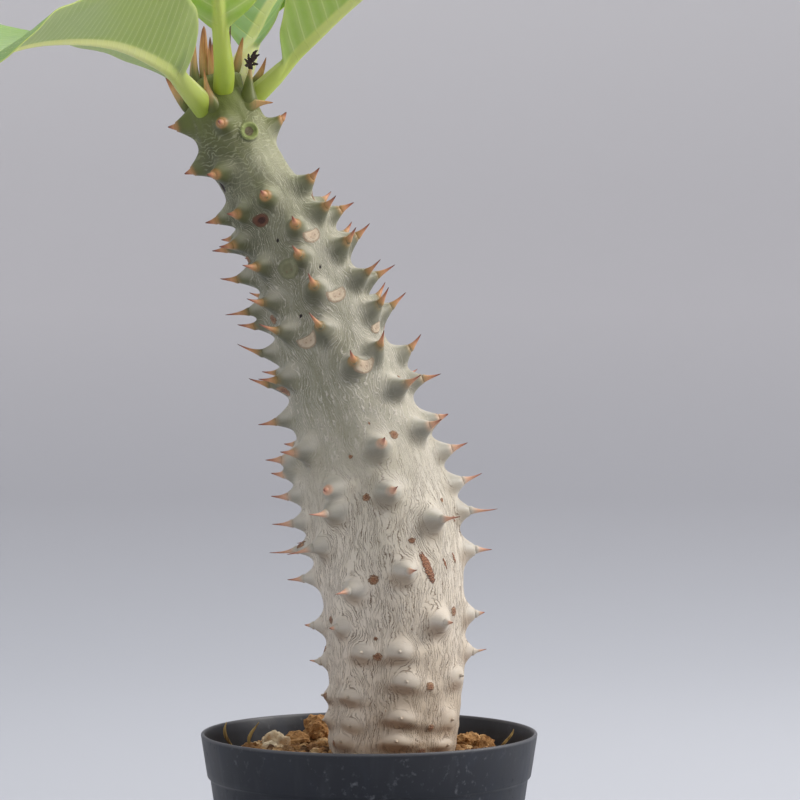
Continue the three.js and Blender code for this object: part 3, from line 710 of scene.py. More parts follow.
def stemMaterial():
    material, tree = newMaterial("pachypodiumSkin")
    height, cushion, spine, scarAway, shaded = attributes(
        tree, "height", "cushion", "spine", "scarAway", "shaded")
    flow, scarPlace = attributes(tree, "flow", "scarPlace", output="Vector")
    around = flow.part(1).maths("ARCTAN2", flow.part(0)) / (2 * math.pi)

    wander = cloud(flow * (0.12, 0.12, 0.1), 1.0, 2)
    bends = cloud(flow * (0.3, 0.3, 0.16), 1.0, 2)
    zone = height + (wander - 0.5) * 0.1
    smallGrain = cloud(flow, 1.3, 3, 0.6)
    fineGrain = cloud(flow, 3.4, 3, 0.6)
    smoothTop = cushion.ramp(0.3, 0.75)

    # Lines that run up the stem and flow round the cushions: pale and wavy above, dark and fine below
    waves = around * 84 + wander * 7 + bends * 3.2 + smallGrain * 0.9
    paleLine = abs(waves.maths("FRACT") - 0.5).ramp(0.17, 0.05)
    paleLine = paleLine * cloud(flow * (0.5, 0.5, 0.14) + (7, 3, 1), 1.0, 2).ramp(0.36, 0.5)
    hairs = around * 172 + wander * 5 + bends * 3.5 + smallGrain * 1.6
    hairLine = abs(hairs.maths("FRACT") - 0.5).ramp(0.2, 0.04)
    hairLine = hairLine * cloud(flow * (0.8, 0.8, 0.25) + (2, 9, 4), 1.0, 2).ramp(0.4, 0.58)
    rings = flow.part(2) * 0.7 + wander * 4 + cloud(flow * (0.07, 0.07, 0.3), 1.0, 2) * 5 + smallGrain * 0.35
    ringLine = abs(rings.maths("FRACT") - 0.5).ramp(0.22, 0.06)
    ringLine = ringLine * cloud(flow * (0.12, 0.12, 0.5), 1.0, 2).ramp(0.36, 0.5) * zone.ramp(0.96, 0.92)
    crown = zone.ramp(0.82, 0.88)
    upper = zone.ramp(0.3, 0.5)
    lines = (paleLine * 0.9 + hairLine * 0.35) * upper * (1 - crown) + ringLine * crown * 0.55
    lines = lines * (1 - smoothTop * 0.9)
    cracks = (hairLine * 0.8 + paleLine * 0.35) * zone.ramp(0.55, 0.3) * (1 - smoothTop)

    ground = toneRamp(
        zone, (0.0, 160, 134, 106), (0.07, 196, 178, 154), (0.25, 214, 203, 184), (0.42, 186, 179, 158),
        (0.52, 152, 149, 126), (0.7, 134, 133, 108), (0.84, 136, 135, 106), (0.93, 110, 114, 64),
        (1.0, 112, 124, 50))
    silver = toneRamp(
        zone, (0.0, 216, 202, 184), (0.4, 220, 213, 200), (0.7, 214, 208, 192), (0.9, 194, 194, 160),
        (1.0, 160, 174, 100))
    # painted light: the right side, which faces the key light, is painted paler and more silver, fading out
    # towards the crown
    paintedLitRight = flow.part(1).ramp(-4.0, 17.0) * zone.ramp(0.96, 0.86)
    # painted shade: the left side of the upper stem, away from the key light, is painted darker
    shady = flow.part(1).ramp(2.0, -16.0) * zone.ramp(0.66, 0.76) * zone.ramp(0.97, 0.9)
    bloom = cloud(flow * (0.16, 0.16, 0.08), 1.0, 3, 0.6).ramp(0.38, 0.68) * zone.ramp(0.95, 0.85)
    # painted light: on the lower stem the left side, turned from the key light, is painted paler
    pale = flow.part(1).ramp(6.0, -14.0) * zone.ramp(0.5, 0.2)
    grooves = (smallGrain.ramp(0.5, 0.3) * 0.5 + (1 - lines).ramp(0.7, 1.0) * 0.3) * upper * (1 - crown)
    cushionTone = toneRamp(
        zone, (0.0, 192, 174, 152), (0.22, 190, 184, 172), (0.4, 154, 151, 138), (0.55, 118, 116, 96),
        (0.75, 92, 94, 58), (1.0, 100, 108, 44))
    cushionTone = mixed(paintedLitRight * 0.2, cushionTone, silver)
    # painted highlight: skin that faces up or to the right is painted silver
    lit = shaded.ramp(-0.05, -0.7) * 0.55 * zone.ramp(0.95, 0.8)
    # painted shade: skin that faces down or left, under the cushions and ridges, is painted darker in
    # underTone
    paintedShade = (shaded + (wander - 0.5) * 0.5).ramp(0.1, 0.68) * 0.62
    underTone = toneRamp(
        zone, (0.0, 136, 98, 68), (0.25, 166, 146, 122), (0.45, 116, 113, 98), (0.62, 70, 72, 50),
        (0.75, 58, 62, 34))
    # the silver here is partly the skin's own waxy bloom in patches and partly painted light on the right
    # side
    skinTone = mixed((bloom * 0.3 + paintedLitRight * 0.3).maths("MINIMUM", 0.6), ground, silver)
    skinTone = coated(skinTone, (shady * 0.65, (80, 82, 56)), (pale * 0.5, (240, 230, 214)),
                      (lines * 0.85, silver), (grooves * 0.5, (92, 92, 68)), (smoothTop * 0.85, cushionTone),
                      (lit, silver), (paintedShade, underTone), (cracks * 0.85, (118, 96, 74)))

    # Leaf scars, drawn in their own coordinates: 1 is the edge
    kind = scarPlace.part(2)
    spot = scarPlace * (1, 1, 0)
    isPad = kind.ramp(0.3, 0.33) * kind.ramp(0.42, 0.38)
    distance = spot.length().maths("MAXIMUM", scarPlace.part(1) * isPad * 2.0)
    isCork = kind.ramp(0.28, 0.22)
    ragged = distance + (smallGrain - 0.5) * (0.25 + isCork * 0.9)
    near = scarAway.ramp(1.5, 1.35)
    scarIn = ragged.ramp(1.05, 0.95) * near
    rim = abs(ragged - 0.95).ramp(0.16, 0.04) * near
    core = ragged.ramp(0.62, 0.45) * near
    bundles = (scarPlace.part(0) * 1.9).maths("FRACT") - 0.5
    bundles = (bundles / 1.9) ** 2 + (scarPlace.part(1) + 0.2) ** 2
    dots = bundles.ramp(0.016, 0.004) * distance.ramp(0.95, 0.7) * near
    scarTone = toneRamp(
        kind, (0.0, 186, 146, 112), (0.15, 178, 122, 88), (0.25, 206, 188, 162), (0.42, 206, 188, 162),
        (0.5, 138, 138, 106), (0.65, 132, 144, 78), (0.8, 120, 78, 58), (1.0, 50, 36, 34))
    rimTone = toneRamp(
        kind, (0.0, 164, 128, 98), (0.15, 120, 76, 54), (0.35, 146, 122, 98), (0.5, 120, 120, 88),
        (0.65, 158, 168, 104), (0.8, 110, 84, 60), (1.0, 66, 48, 42))
    coreTone = toneRamp(
        kind, (0.0, 160, 110, 78), (0.15, 184, 128, 92), (0.35, 198, 176, 150), (0.5, 120, 118, 86),
        (0.65, 78, 56, 34), (0.8, 64, 36, 30), (1.0, 28, 22, 24))
    skinTone = coated(skinTone, (scarIn, scarTone), (core * 0.85, coreTone), (rim * 0.7, rimTone),
                      (scarIn * isCork * fineGrain.ramp(0.52, 0.4) * 0.75, (88, 54, 38)),
                      (dots * kind.ramp(0.3, 0.35) * kind.ramp(0.56, 0.5) * 0.45, (120, 84, 64)))

    # Spines: skin at the foot, then tan, and dark at the tip
    ripe = spine + (smallGrain - 0.5) * 0.12
    lowSpine = toneRamp(
        ripe, (0.0, 190, 176, 156), (0.3, 210, 178, 152), (0.55, 214, 164, 136), (0.8, 184, 124, 102),
        (1.0, 110, 70, 60))
    highSpine = toneRamp(
        ripe, (0.0, 92, 96, 54), (0.3, 112, 104, 58), (0.44, 172, 132, 80), (0.62, 208, 150, 108),
        (0.82, 172, 104, 80), (1.0, 88, 54, 46))
    budTone = toneRamp(
        spine + (cloud(flow * (1.1, 1.1, 0.1), 1.0, 2) - 0.5) * 0.5, (0.0, 92, 112, 52),
        (0.25, 128, 134, 70), (0.42, 186, 158, 102), (0.6, 216, 170, 112), (0.74, 206, 146, 92),
        (0.9, 160, 100, 70), (1.0, 104, 66, 52))
    spineTone = mixed(zone.ramp(0.38, 0.58), lowSpine, highSpine)
    spineTone = mixed(height.ramp(0.965, 0.968), spineTone, budTone)
    skinTone = mixed(spine.ramp(0.2, 0.46), skinTone, spineTone)

    grey = mixed(fineGrain, (0, 0, 0), (255, 255, 255))
    skinTone = mixed(0.22 - spine * 0.15, skinTone, grey, "SOFT_LIGHT")
    relief = lines * 0.5 - cracks * 0.9 + smallGrain * 0.3 * (1 - smoothTop * 0.8)
    relief = relief + scarIn * isCork * fineGrain * 2.0
    surface(tree, {
        "Base Color": skinTone,
        "Roughness": 0.55 - smoothTop * 0.1 - spine * 0.1 + smallGrain * 0.12,
        "Specular IOR Level": 0.45,
        "Sheen Weight": 0.12,
        "Subsurface Weight": 0.08,
        "Subsurface Radius": (1.0, 0.8, 0.5),
        "Subsurface Scale": 0.0008,
    }, relief, 0.8, 0.0005)
    return material


skinMaterial = stemMaterial()
stemSkin(skinMaterial)
stemSpines(skinMaterial)
makeBuds(skinMaterial)
makeStalk(stalkMaterial())
print("stem, spines and buds are made")


# Leaves

# What a leaf has where its own settings below don't say something else
leafForm = {
    "width": 50,
    "foldLeft": (26, 12),  # degrees that a half is folded up at the foot and at the tip
    "foldRight": (26, 12),
    "stout": 1,  # how thick the petiole and midrib are
    "cream": 0.0,
    "liftLeft": 0,  # how many degrees the left edge curls up further, where, and half how long that is
    "liftPlace": 0.76,
    "liftHalf": 0.08,
    "thickness": 0.5,
    "petioleRadius": 2.9,
    "petioleFlatness": 0.6,  # of the petiole's upper side
    "swelling": 0.16,  # the petiole is this much thicker near its foot
    "swellingPlace": 7,
    "swellingHalf": 5,
    "midribDepth": 1.6,
    "midribShare": 0.27,  # share of the half width at the section's midrib point
    "midribTaper": 0.8,
    "groove": 0.25,
    "bladeLean": 0.84,
    "bladeFullness": 0.6,
    "waveHeight": 1.2,
    "waveCount": 3,
    "ripple": 0.35,
    "fullLength": 130,  # a leaf at least this long has the full petiole and midrib
    "veinSpacing": 4.8,
    "veinLean": 0.42,  # how far a vein runs forward for each millimetre outwards
    "veinCurve": 0.006,
    "quilting": 0.16,  # how far the blade is raised between the veins
    "valley": 1.2,  # the fold is rounded this far out from the midrib
    "stations": 160,
    "crowding": 1.1,  # above 1 the stations lie closer near the foot
    "ribColumns": 5,
    "bladeColumns": 15,
}

# The midrib from inside the stem to the tip, the petiole's share of the length, how yellow the leaf is, and
# what differs from the form above
leaves = {
    "leaf_1": {
        "midrib": [(-49.5, -5, 284.5), (-53.5, -12, 289.7), (-61, -25, 296), (-75, -46, 300.5),
                   (-91, -74, 297.5), (-103, -98, 290), (-113, -118, 280)],
        "width": 64, "foldLeft": (54, 4), "foldRight": (8, 16), "petiole": 0.15, "yellow": 0.15,
        "stout": 1.2, "veinSpacing": 2.6, "liftLeft": 11},
    "leaf_2": {
        "midrib": [(-45.5, -6, 290), (-44.6, -11.5, 297), (-45.4, -13, 307), (-46.2, -16, 320),
                   (-47, -25, 350), (-49, -44, 383), (-52, -68, 407), (-53, -80, 414)],
        "foldLeft": (26, 14), "foldRight": (30, 14), "petiole": 0.145, "yellow": 0.9},
    "leaf_3": {
        "midrib": [(-42, 1, 287), (-35.4, 0, 292), (-20, -4, 305.5), (-4.3, -8, 319.4), (28, -20, 344),
                   (56, -32, 358), (74, -41, 362)],
        "foldLeft": (18, 10), "foldRight": (52, 24), "petiole": 0.14, "yellow": 0.6, "stout": 1.15},
    "leaf_4": {
        "midrib": [(-44, 3, 291), (-40.5, 6, 301), (-35.5, 11, 312), (-30.2, 16, 323), (-14, 31, 350),
                   (6, 49, 372), (21, 65, 383)],
        "foldRight": (24, 12), "petiole": 0.13, "yellow": 0.0, "stout": 1.5, "cream": 1.0},
    "leaf_5": {
        "midrib": [(-45, 4, 285), (-43.5, 11, 291), (-41, 18, 302), (-38.5, 25, 315), (-33, 44, 342),
                   (-28, 68, 362), (-25, 94, 369)],
        "petiole": 0.3, "yellow": 0.3},
    "leaf_6": {
        "midrib": [(-52, 3, 285.5), (-56, 8, 291.5), (-62, 14, 300), (-71.5, 21, 309.5), (-93, 37, 327),
                   (-116, 54, 336), (-138, 70, 334)],
        "width": 48, "petiole": 0.18, "yellow": 0.4, "stout": 0.75},
    "leaf_7": {
        "midrib": [(-52, 1, 286.5), (-56, 2, 291), (-61.5, 3, 299), (-68.5, 3, 308), (-77, 3, 320),
                   (-95, 2, 341), (-116, -2, 356), (-141, -8, 363)],
        "width": 48, "foldLeft": (22, 10), "foldRight": (30, 14), "petiole": 0.2, "yellow": 0.35,
        "stout": 0.75},
    "young_leaf": {
        "midrib": [(-47.5, 0, 290), (-46.8, 1, 300), (-45.6, 4, 317), (-43, 9, 336), (-39, 16, 354)],
        "width": 17, "foldLeft": (50, 34), "foldRight": (50, 34), "petiole": 0.4, "yellow": 0.7},
}


def leafPiece(name, leaf, seed, material):
    form = {**leafForm, **leaf}
    curve, places = smoothCurve(form["midrib"])
    length = places[-1]
    scale = min(1, length / form["fullLength"])
    stout = form["stout"] * scale
    t = np.linspace(0, 1, form["stations"]) ** form["crowding"]
    centre, along = alongCurve(curve, places, t * length)
    level = unit(np.cross(np.subtract(form["midrib"][-1], form["midrib"][0]), (0, 0, 1)))
    right = unit(level - along * (along @ level)[:, None])
    above = np.cross(right, along)

    # Across the leaf, w goes from -1 at the left edge to 1 at the right
    share = form["midribShare"]
    ribPlaces = np.linspace(0, share, form["ribColumns"])
    half = np.concatenate([ribPlaces, share + (1 - share) * np.linspace(0, 1, form["bladeColumns"])[1:]])
    w = np.concatenate([-half[:0:-1], half])[None, :]
    left = w < 0
    side = np.sign(w)
    t = t[:, None]
    petiole = form["petiole"]
    blade = ease(petiole - 0.04, petiole + 0.05, t)
    thinning = 1 - form["midribTaper"] * t
    rib = form["petioleRadius"] * stout * thinning
    rib = rib * (1 + form["swelling"] * hump(t * length - form["swellingPlace"], form["swellingHalf"]))
    bladePlace = np.clip((t - petiole) / (1 - petiole), 0, 1)
    outline = np.sin(math.pi * bladePlace ** form["bladeLean"]) ** form["bladeFullness"]
    halfWidth = np.maximum(rib, form["width"] / 2 * outline)
    ribPart = np.minimum(1, np.abs(w) / share)
    outer = np.maximum(0, (np.abs(w) - share) / (1 - share))
    spread = 0.8 * rib * ribPart + (halfWidth - 0.8 * rib) * outer
    leftFold, rightFold = (foot + (tip - foot) * t for foot, tip in (form["foldLeft"], form["foldRight"]))
    leftFold = leftFold + form["liftLeft"] * hump(t - form["liftPlace"], form["liftHalf"])
    fold = np.radians(np.where(left, leftFold, rightFold)) * blade
    phase = 2 * math.pi * (form["waveCount"] * t + np.where(left, seeded(seed), seeded(seed + 0.5)))
    ending = ease(0, 0.2, 1 - t)
    wave = form["waveHeight"] * scale * blade * outer ** 2 * np.sin(phase) * ending
    wave = wave + form["ripple"] * blade * outer ** 4 * np.sin(3.7 * phase + 2 * w) * ending
    lateral = side * (rib * np.sin(np.abs(w) * math.pi / 2) * (1 - blade) + spread * blade)
    vein = t * length - np.abs(lateral) * form["veinLean"] - form["veinCurve"] * lateral ** 2
    vein = vein / form["veinSpacing"] + 0.25 * side + seeded(seed + 0.2)
    quilt = -form["quilting"] * np.cos(2 * math.pi * vein) * blade * ease(0, 0.15, outer) * (1 - outer ** 6)
    rounded = rib * np.cos(w * math.pi / 2)
    ridge = form["midribDepth"] * stout * thinning * np.sqrt(1 - ribPart ** 2)
    thin = form["thickness"] / 2 * (1 - 0.45 * outer ** 3)
    halfThick = 0.2 * (1 - blade) + thin * blade
    rounded = rounded * (1 - blade)
    upper = form["petioleFlatness"] * rounded - form["groove"] * (1 - ribPart) * blade + halfThick
    lower = -(rounded + ridge * blade) - halfThick

    # The underside from right to left, then the upper side from left to right
    faceSides = []
    for height in (lower, upper):
        across = lateral * np.cos(fold) - side * height * np.sin(fold) * outer
        valley = np.sqrt(lateral ** 2 + form["valley"] ** 2) - form["valley"]
        raised = valley * np.sin(fold) + height * (1 - outer + outer * np.cos(fold)) + wave + quilt
        offsets = across[..., None] * right[:, None] + raised[..., None] * above[:, None]
        faceSides.append(centre[:, None] + offsets)
    points = np.concatenate([faceSides[0][:, ::-1], faceSides[1]], axis=1)

    def both(lowerValues, upperValues=None):
        upperValues = lowerValues if upperValues is None else upperValues
        lowerValues, upperValues = (np.broadcast_to(v, lateral.shape) for v in (lowerValues, upperValues))
        return np.concatenate([lowerValues[:, ::-1], upperValues], axis=1).ravel()

    marks = {
        "upperSide": both(0.0, 1.0), "vein": both(vein), "across": both(lateral), "blade": both(blade),
        "edge": both(halfWidth - np.abs(lateral)), "place": both(t), "rib": both(rib),
        "yellow": both(form["yellow"]), "cream": both(form["cream"]),
    }
    makePiece(name.replace("_", "") + "Blade", points.reshape(-1, 3), closedFaces(*points.shape[:2]),
              material, "leaf", (name,), marks)


def leafMaterial():
    material, tree = newMaterial("leafSurface")
    upperSide, vein, across, blade, edge, place, rib, yellow, cream = attributes(
        tree, "upperSide", "vein", "across", "blade", "edge", "place", "rib", "yellow", "cream")
    upperSide = upperSide.ramp(0.45, 0.55)
    where = objectPlace(tree)

    wobble = cloud(where, 90, 2) - 0.5
    nearest = abs((vein + wobble * 0.12).maths("FRACT") - 0.5)
    veinLine = nearest.ramp(0.415, 0.485) * edge.ramp(1.0, 5.0)
    fineVein = cloud(where, 420, 2, 0.6)
    midrib = (abs(across) - rib * 0.85).ramp(0.9, -0.5)
    petiole = blade.ramp(0.75, 0.25)
    pale = midrib.maths("MAXIMUM", petiole)
    margin = edge.ramp(0.75, 0.25)

    patch = cloud(where, 45, 3, 0.55)
    upperTone = mixed(patch, (126, 162, 100), (148, 182, 116))
    underTone = mixed(patch, (156, 176, 110), (180, 194, 126))
    bladeTone = coated(
        mixed(upperSide, underTone, upperTone), (cream * 0.85, (184, 212, 170)),
        (yellow * 0.75, (146, 186, 24)), ((fineVein - 0.5) * 0.6 + 0.1, (180, 196, 124)),
        (nearest.ramp(0.05, 0.42) * (1 - upperSide) * 0.3, (192, 204, 140)),
        (veinLine * (0.5 + upperSide * 0.2), (204, 216, 152)))
    ribTone = coated(
        mixed(place.ramp(0.05, 0.35), (196, 210, 108), (230, 232, 164)),
        (upperSide * 0.7, (222, 228, 160)), (yellow * 0.5, (178, 200, 50)),
        (place.ramp(0.1, 0.02), (166, 186, 62)), (cream, (250, 250, 190)))
    bladeTone = coated(bladeTone, (pale, ribTone), (margin * (1 - pale) * 0.4, (206, 212, 136)))
    relief = veinLine * (0.6 - upperSide * 1.2) + (fineVein - 0.5) * 0.4 * (1 - pale)
    surface(tree, {
        "Base Color": bladeTone,
        "Roughness": 0.42 + (patch - 0.5) * 0.15 + pale * 0.06,
        "Specular IOR Level": 0.45,
        "Subsurface Weight": 0.5,
        "Subsurface Radius": (0.9, 1.0, 0.25),
        "Subsurface Scale": 0.0016,
    }, relief, 0.45, 0.0003)
    return material


leafSurface = leafMaterial()
for seed, (name, leaf) in enumerate(leaves.items(), 1):
    leafPiece(name, leaf, seed, leafSurface)
print("leaves are made")


# Pot

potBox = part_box("pot")
pot = {
    "height": potBox[1][2] / mm,
    "rim": potBox[1][0] / mm,
    "base": 38,
    "wall": 1.3,
    "floor": 1.8,
    "band": 13.5,
    "bandStep": 0.8,  # how far the band stands out
    "bandBlend": 0.6,
    "lip": 0.6,  # radius of the rim's rounded edge
    "sides": 180,
    "holes": 8,
    "holeRadius": 4,
    "holeCircle": 27,
    "holeSides": 36,
}
wallSlope = (pot["rim"] - pot["bandStep"] - pot["base"]) / pot["height"]


def outerWall(z):
    return pot["base"] + wallSlope * z


def innerWall(z):
    return outerWall(z) - pot["wall"]


def makePot(material):
    foot = pot["height"] - pot["band"]
    blend = foot - pot["bandBlend"]
    top = pot["height"] - pot["lip"]
    bandFoot = outerWall(foot) + pot["bandStep"]
    flats = (30, 24, 12, 0.5)
    profile = [(radius, 0) for radius in flats[::-1]]
    profile += [(pot["base"] - 1.2, 0), (pot["base"] - 0.35, 0.3), (pot["base"], 1)]
    profile += [(outerWall(z), z) for z in np.linspace(6, blend - 0.5, 14)]
    profile += [(outerWall(blend), blend), (outerWall(foot) + 0.7 * pot["bandStep"], foot - 0.12)]
    profile.append((bandFoot, foot + 0.25))
    profile += [(bandFoot + (pot["rim"] - bandFoot) * share, z)
                for share, z in zip(np.linspace(0.15, 0.95, 5), np.linspace(foot + 2, top - 0.6, 5))]
    profile += [(pot["rim"] - pot["lip"] * (1 - math.cos(a)), top + pot["lip"] * math.sin(a))
                for a in np.linspace(0, math.pi, 8)]
    profile += [(innerWall(z) + pot["bandStep"], z) for z in np.linspace(top - 0.6, foot + 1, 5)]
    profile += [(innerWall(z), z) for z in np.linspace(foot - 1, pot["floor"] + 0.8, 10)]
    profile.append((innerWall(pot["floor"]) - 0.8, pot["floor"]))
    profile += [(radius, pot["floor"]) for radius in flats]
    piece = makePiece("nurseryPot", lathe(profile, pot["sides"]), closedFaces(len(profile), pot["sides"]),
                      material, "pot", ("pot",))

    bore = lathe([(pot["holeRadius"], -2), (pot["holeRadius"], pot["floor"] + 2)], pot["holeSides"])
    boreFaces = closedFaces(2, pot["holeSides"])
    bores = [(bore + (pot["holeCircle"] * math.cos(a), pot["holeCircle"] * math.sin(a), 0), boreFaces)
             for a in turnsOf(pot["holes"])]
    points, faces = joined(bores)
    shape = bpy.data.meshes.new("drainHoles")
    shape.from_pydata(points * mm, [], faces)
    cutter = bpy.data.objects.new("drainHoles", shape)
    scene.collection.objects.link(cutter)
    cutting = piece.modifiers.new("drainHoles", "BOOLEAN")
    cutting.operation = "DIFFERENCE"
    cutting.object = cutter
    whole = piece.data
    drilled = bpy.data.meshes.new_from_object(piece.evaluated_get(bpy.context.evaluated_depsgraph_get()))
    piece.modifiers.clear()
    piece.data = drilled
    bpy.data.meshes.remove(whole)
    bpy.data.objects.remove(cutter)
    bpy.data.meshes.remove(shape)


def potMaterial():
    material, tree = newMaterial("darkPlastic")
    where = objectPlace(tree)
    dust = cloud(where, 430, 3, 0.6).ramp(0.56, 0.78)
    patch = cloud(where, 60, 2, 0.5).ramp(0.36, 0.62)
    worn = cloud(where * (1.0, 1.0, 0.35), 70, 4, 0.65).ramp(0.45, 0.75)
    streak = cloud(where * (1.0, 1.0, 0.06), 220, 2, 0.5).ramp(0.55, 0.75)
    grain = cloud(where, 1500, 2, 0.5)
    # the band round the top of the pot is made a little paler
    paleBand = where.part(2).ramp(0.075, 0.095)
    # painted highlight: a pale line along the rim's rounded top edge
    lip = where.part(2).ramp(pot["height"] * mm - 0.0011, pot["height"] * mm - 0.0003)
    base = coated(mixed(worn * 0.6, (19, 24, 34), (36, 43, 57)), (streak * 0.07, (110, 112, 118)),
                  (dust * patch * 0.5, (124, 126, 132)), (paleBand * 0.06, (120, 118, 116)),
                  (lip * 0.3, (130, 130, 134)))
    surface(tree, {
        "Base Color": base,
        "Roughness": 0.44 + worn * 0.14 + dust * 0.2,
        "Specular IOR Level": 0.42,
    }, grain * 0.4 + dust * 0.6, 0.3, 0.0001)
    return material


makePot(potMaterial())
print("pot is made")


# Soil: a bed of clay granules with a few bigger lumps, pumice and dry scraps

soil = {
    "top": stem["soil"],
    "mound": 1.4,  # half of how much higher the soil is in the middle than at the rim
    "spacing": 2.35,
    "rowShare": 0.87,  # rows are this much closer than the granules in a row
    "grain": (0.95, 2.0),
    "wallGap": 0.3,
    "bedSides": 120,
    "bedDepth": 1.3,
    "bedTone": 0.12,
    "lumps": 110,
    "lump": (2.4, 3.9),
    # Place in the pot, radius, and the share of it that the lump's centre lies above the soil
    "bigLumps": [(-17.5, 32, 5.2, 0.75), (-24, 33, 3.4, 0.5), (-23, 25, 3.6, 0.4), (31, 19, 4.4, 0.4),
                 (37, 16, 3.2, 0.5), (36, 24, 3, 0.5)],
}
# Place in the pot and radius
pumiceStones = [(-30.5, 23, 4.2), (-33.5, 31, 3), (-31.5, 13.5, 2.8), (13, 40, 3.6), (-12, -38, 3.8)]
pumiceLift = 0.2  # share of its radius that a stone's centre lies above the soil
# Foot and tip in the pot, and how high the tip is above the soil
dryScraps = [((-43, 12), (-45, 12), 10), ((-38, 19), (-36.5, 18.5), 9), ((41.5, 9), (44, 9), 8)]


def soilHeight(radius):
    return soil["top"] + soil["mound"] * (1 - 2 * radius / pot["rim"])


def ball(subdivisions):
    shape = bmesh.new()
    bmesh.ops.create_icosphere(shape, subdivisions=subdivisions, radius=1)
    points = np.array([corner.co[:] for corner in shape.verts])
    faces = [tuple(corner.index for corner in face.verts) for face in shape.faces]
    shape.free()
    return points, faces


balls = {level: ball(level) for level in (2, 3, 4)}
# How far each set of bumps rises, how close its bumps lie, and how many sets the smallest granules have
crumbForm = {"bumps": [(0.36, 0.9), (0.26, 2.1), (0.17, 4.5), (0.1, 9)], "smallSets": 2}


def crumb(level, radius, dice):
    # A rough granule: a ball with broad facets and a crumbly surface
    points, faces = balls[level]
    shift = Vector([dice.uniform(-50, 50) for _ in range(3)])
    bumps = crumbForm["bumps"][:None if level > 2 else crumbForm["smallSets"]]
    size = [1 + sum(rise * noise.noise(Vector(p) * pitch + shift) for rise, pitch in bumps) for p in points]
    squash = (dice.uniform(0.85, 1.1), dice.uniform(0.8, 1.05), dice.uniform(0.75, 1.0))
    shaped = points * np.array(size)[:, None] * squash
    a, b = dice.uniform(0, 6.3), dice.uniform(-0.6, 0.6)
    turn = np.array([[math.cos(a), -math.sin(a), 0], [math.sin(a), math.cos(a), 0], [0, 0, 1]])
    tip = np.array([[1, 0, 0], [0, math.cos(b), -math.sin(b)], [0, math.sin(b), math.cos(b)]])
    return shaped @ (turn @ tip).T * radius, faces


def makeSoil(material):
    dice = random.Random(11)
    shapes, tones = [], []

    def add(points, faces, value):
        shapes.append((points, faces))
        tones.append(np.full(len(points), value))

    def lay(form, x, y, lift, value):
        points, faces = form
        add(points + (x, y, soilHeight(math.hypot(x, y)) + lift), faces, value)

    stemCentre = axisPoints[np.searchsorted(axisPlaces, buriedLength)]
    stemRadius = smoothProfile(stem["profile"], np.array([0.0]))[0]

    def fromStem(x, y):
        return math.hypot(x - stemCentre[0], y - stemCentre[1]) - stemRadius

    rim = innerWall(soil["top"]) - soil["wallGap"]
    floor = pot["floor"] + soil["wallGap"]
    profile = [(0.5, floor), (innerWall(floor) - soil["wallGap"], floor), (rim, soilHeight(rim) - 1.6)]
    profile += [(r, soilHeight(r) - soil["bedDepth"]) for r in (42, 34, 26, 16, 8, 0.5)]
    add(lathe(profile, soil["bedSides"]), closedFaces(len(profile), soil["bedSides"]), soil["bedTone"])

    step = soil["spacing"]
    rowStep = step * soil["rowShare"]
    for row in range(int(2 * rim / rowStep) + 1):
        for column in range(int(2 * rim / step) + 1):
            x = -rim + (column + 0.5 * (row % 2)) * step + dice.uniform(-0.8, 0.8)
            y = -rim + row * rowStep + dice.uniform(-0.8, 0.8)
            smallest, largest = soil["grain"]
            radius = dice.uniform(0, 1) ** 1.5 * (largest - smallest) + smallest
            value = dice.random()
            lift = dice.uniform(-0.5, 0.45)
            form = crumb(2, radius, dice)
            if math.hypot(x, y) + radius * 1.2 <= rim and fromStem(x, y) >= -1:
                lay(form, x, y, radius * lift, value)
    placed = [lump[:3] for lump in soil["bigLumps"]] + list(pumiceStones)
    for x, y, radius, lift in soil["bigLumps"]:
        form = crumb(4 if radius > 4 else 3, radius, dice)
        lay(form, x, y, radius * lift, 0.4 + 0.3 * dice.random())
    for _ in range(soil["lumps"] * 4):
        if len(placed) > soil["lumps"]:
            break
        radius = dice.uniform(*soil["lump"])
        away = math.sqrt(dice.uniform(20 ** 2, (rim - radius * 1.15) ** 2))
        a = dice.uniform(0, 2 * math.pi)
        x, y = away * math.cos(a), away * math.sin(a)
        value = dice.random()
        if any(math.hypot(x - px, y - py) < 0.95 * (radius + pr) for px, py, pr in placed):
            continue
        if fromStem(x, y) < radius * 0.8:
            continue
        placed.append((x, y, radius))
        lay(crumb(3, radius, dice), x, y, -radius * 0.2, value)
    makePiece("soilGranules", *joined(shapes), material, "soil", ("soil",),
              {"grainTone": np.concatenate(tones)}, facets=True)


def soilMaterial():
    material, tree = newMaterial("clayGranules")
    value, = attributes(tree, "grainTone")
    where = objectPlace(tree)
    crumbs = cloud(where, 900, 4, 0.65)
    blotch = cloud(where, 240, 3, 0.6)
    base = toneRamp(
        value, (0.0, 72, 52, 34), (0.2, 112, 78, 48), (0.45, 156, 114, 70), (0.7, 178, 138, 90),
        (0.88, 194, 162, 118), (1.0, 206, 188, 156))
    base = coated(base, (blotch.ramp(0.4, 0.7) * 0.45, (194, 158, 110)),
                  (crumbs.ramp(0.55, 0.35) * 0.5, (84, 52, 32)))
    surface(tree, {"Base Color": base, "Roughness": 0.92, "Specular IOR Level": 0.25},
            crumbs + blotch * 0.6, 0.8, 0.0006)
    return material


def pumiceMaterial():
    material, tree = newMaterial("palePumice")
    where = objectPlace(tree)
    pits = Socket.node(tree, "ShaderNodeTexVoronoi", {}, {"Vector": where, "Scale": 1500.0})
    stain = cloud(where, 260, 3, 0.6)
    base = mixed(stain.ramp(0.35, 0.7), (218, 202, 172), (190, 156, 116))
    base = mixed(pits.ramp(0.28, 0.1) * 0.5, base, (120, 92, 66))
    surface(tree, {"Base Color": base, "Roughness": 0.9, "Specular IOR Level": 0.25},
            pits.ramp(0.0, 0.35) + stain, 0.6, 0.0004)
    return material


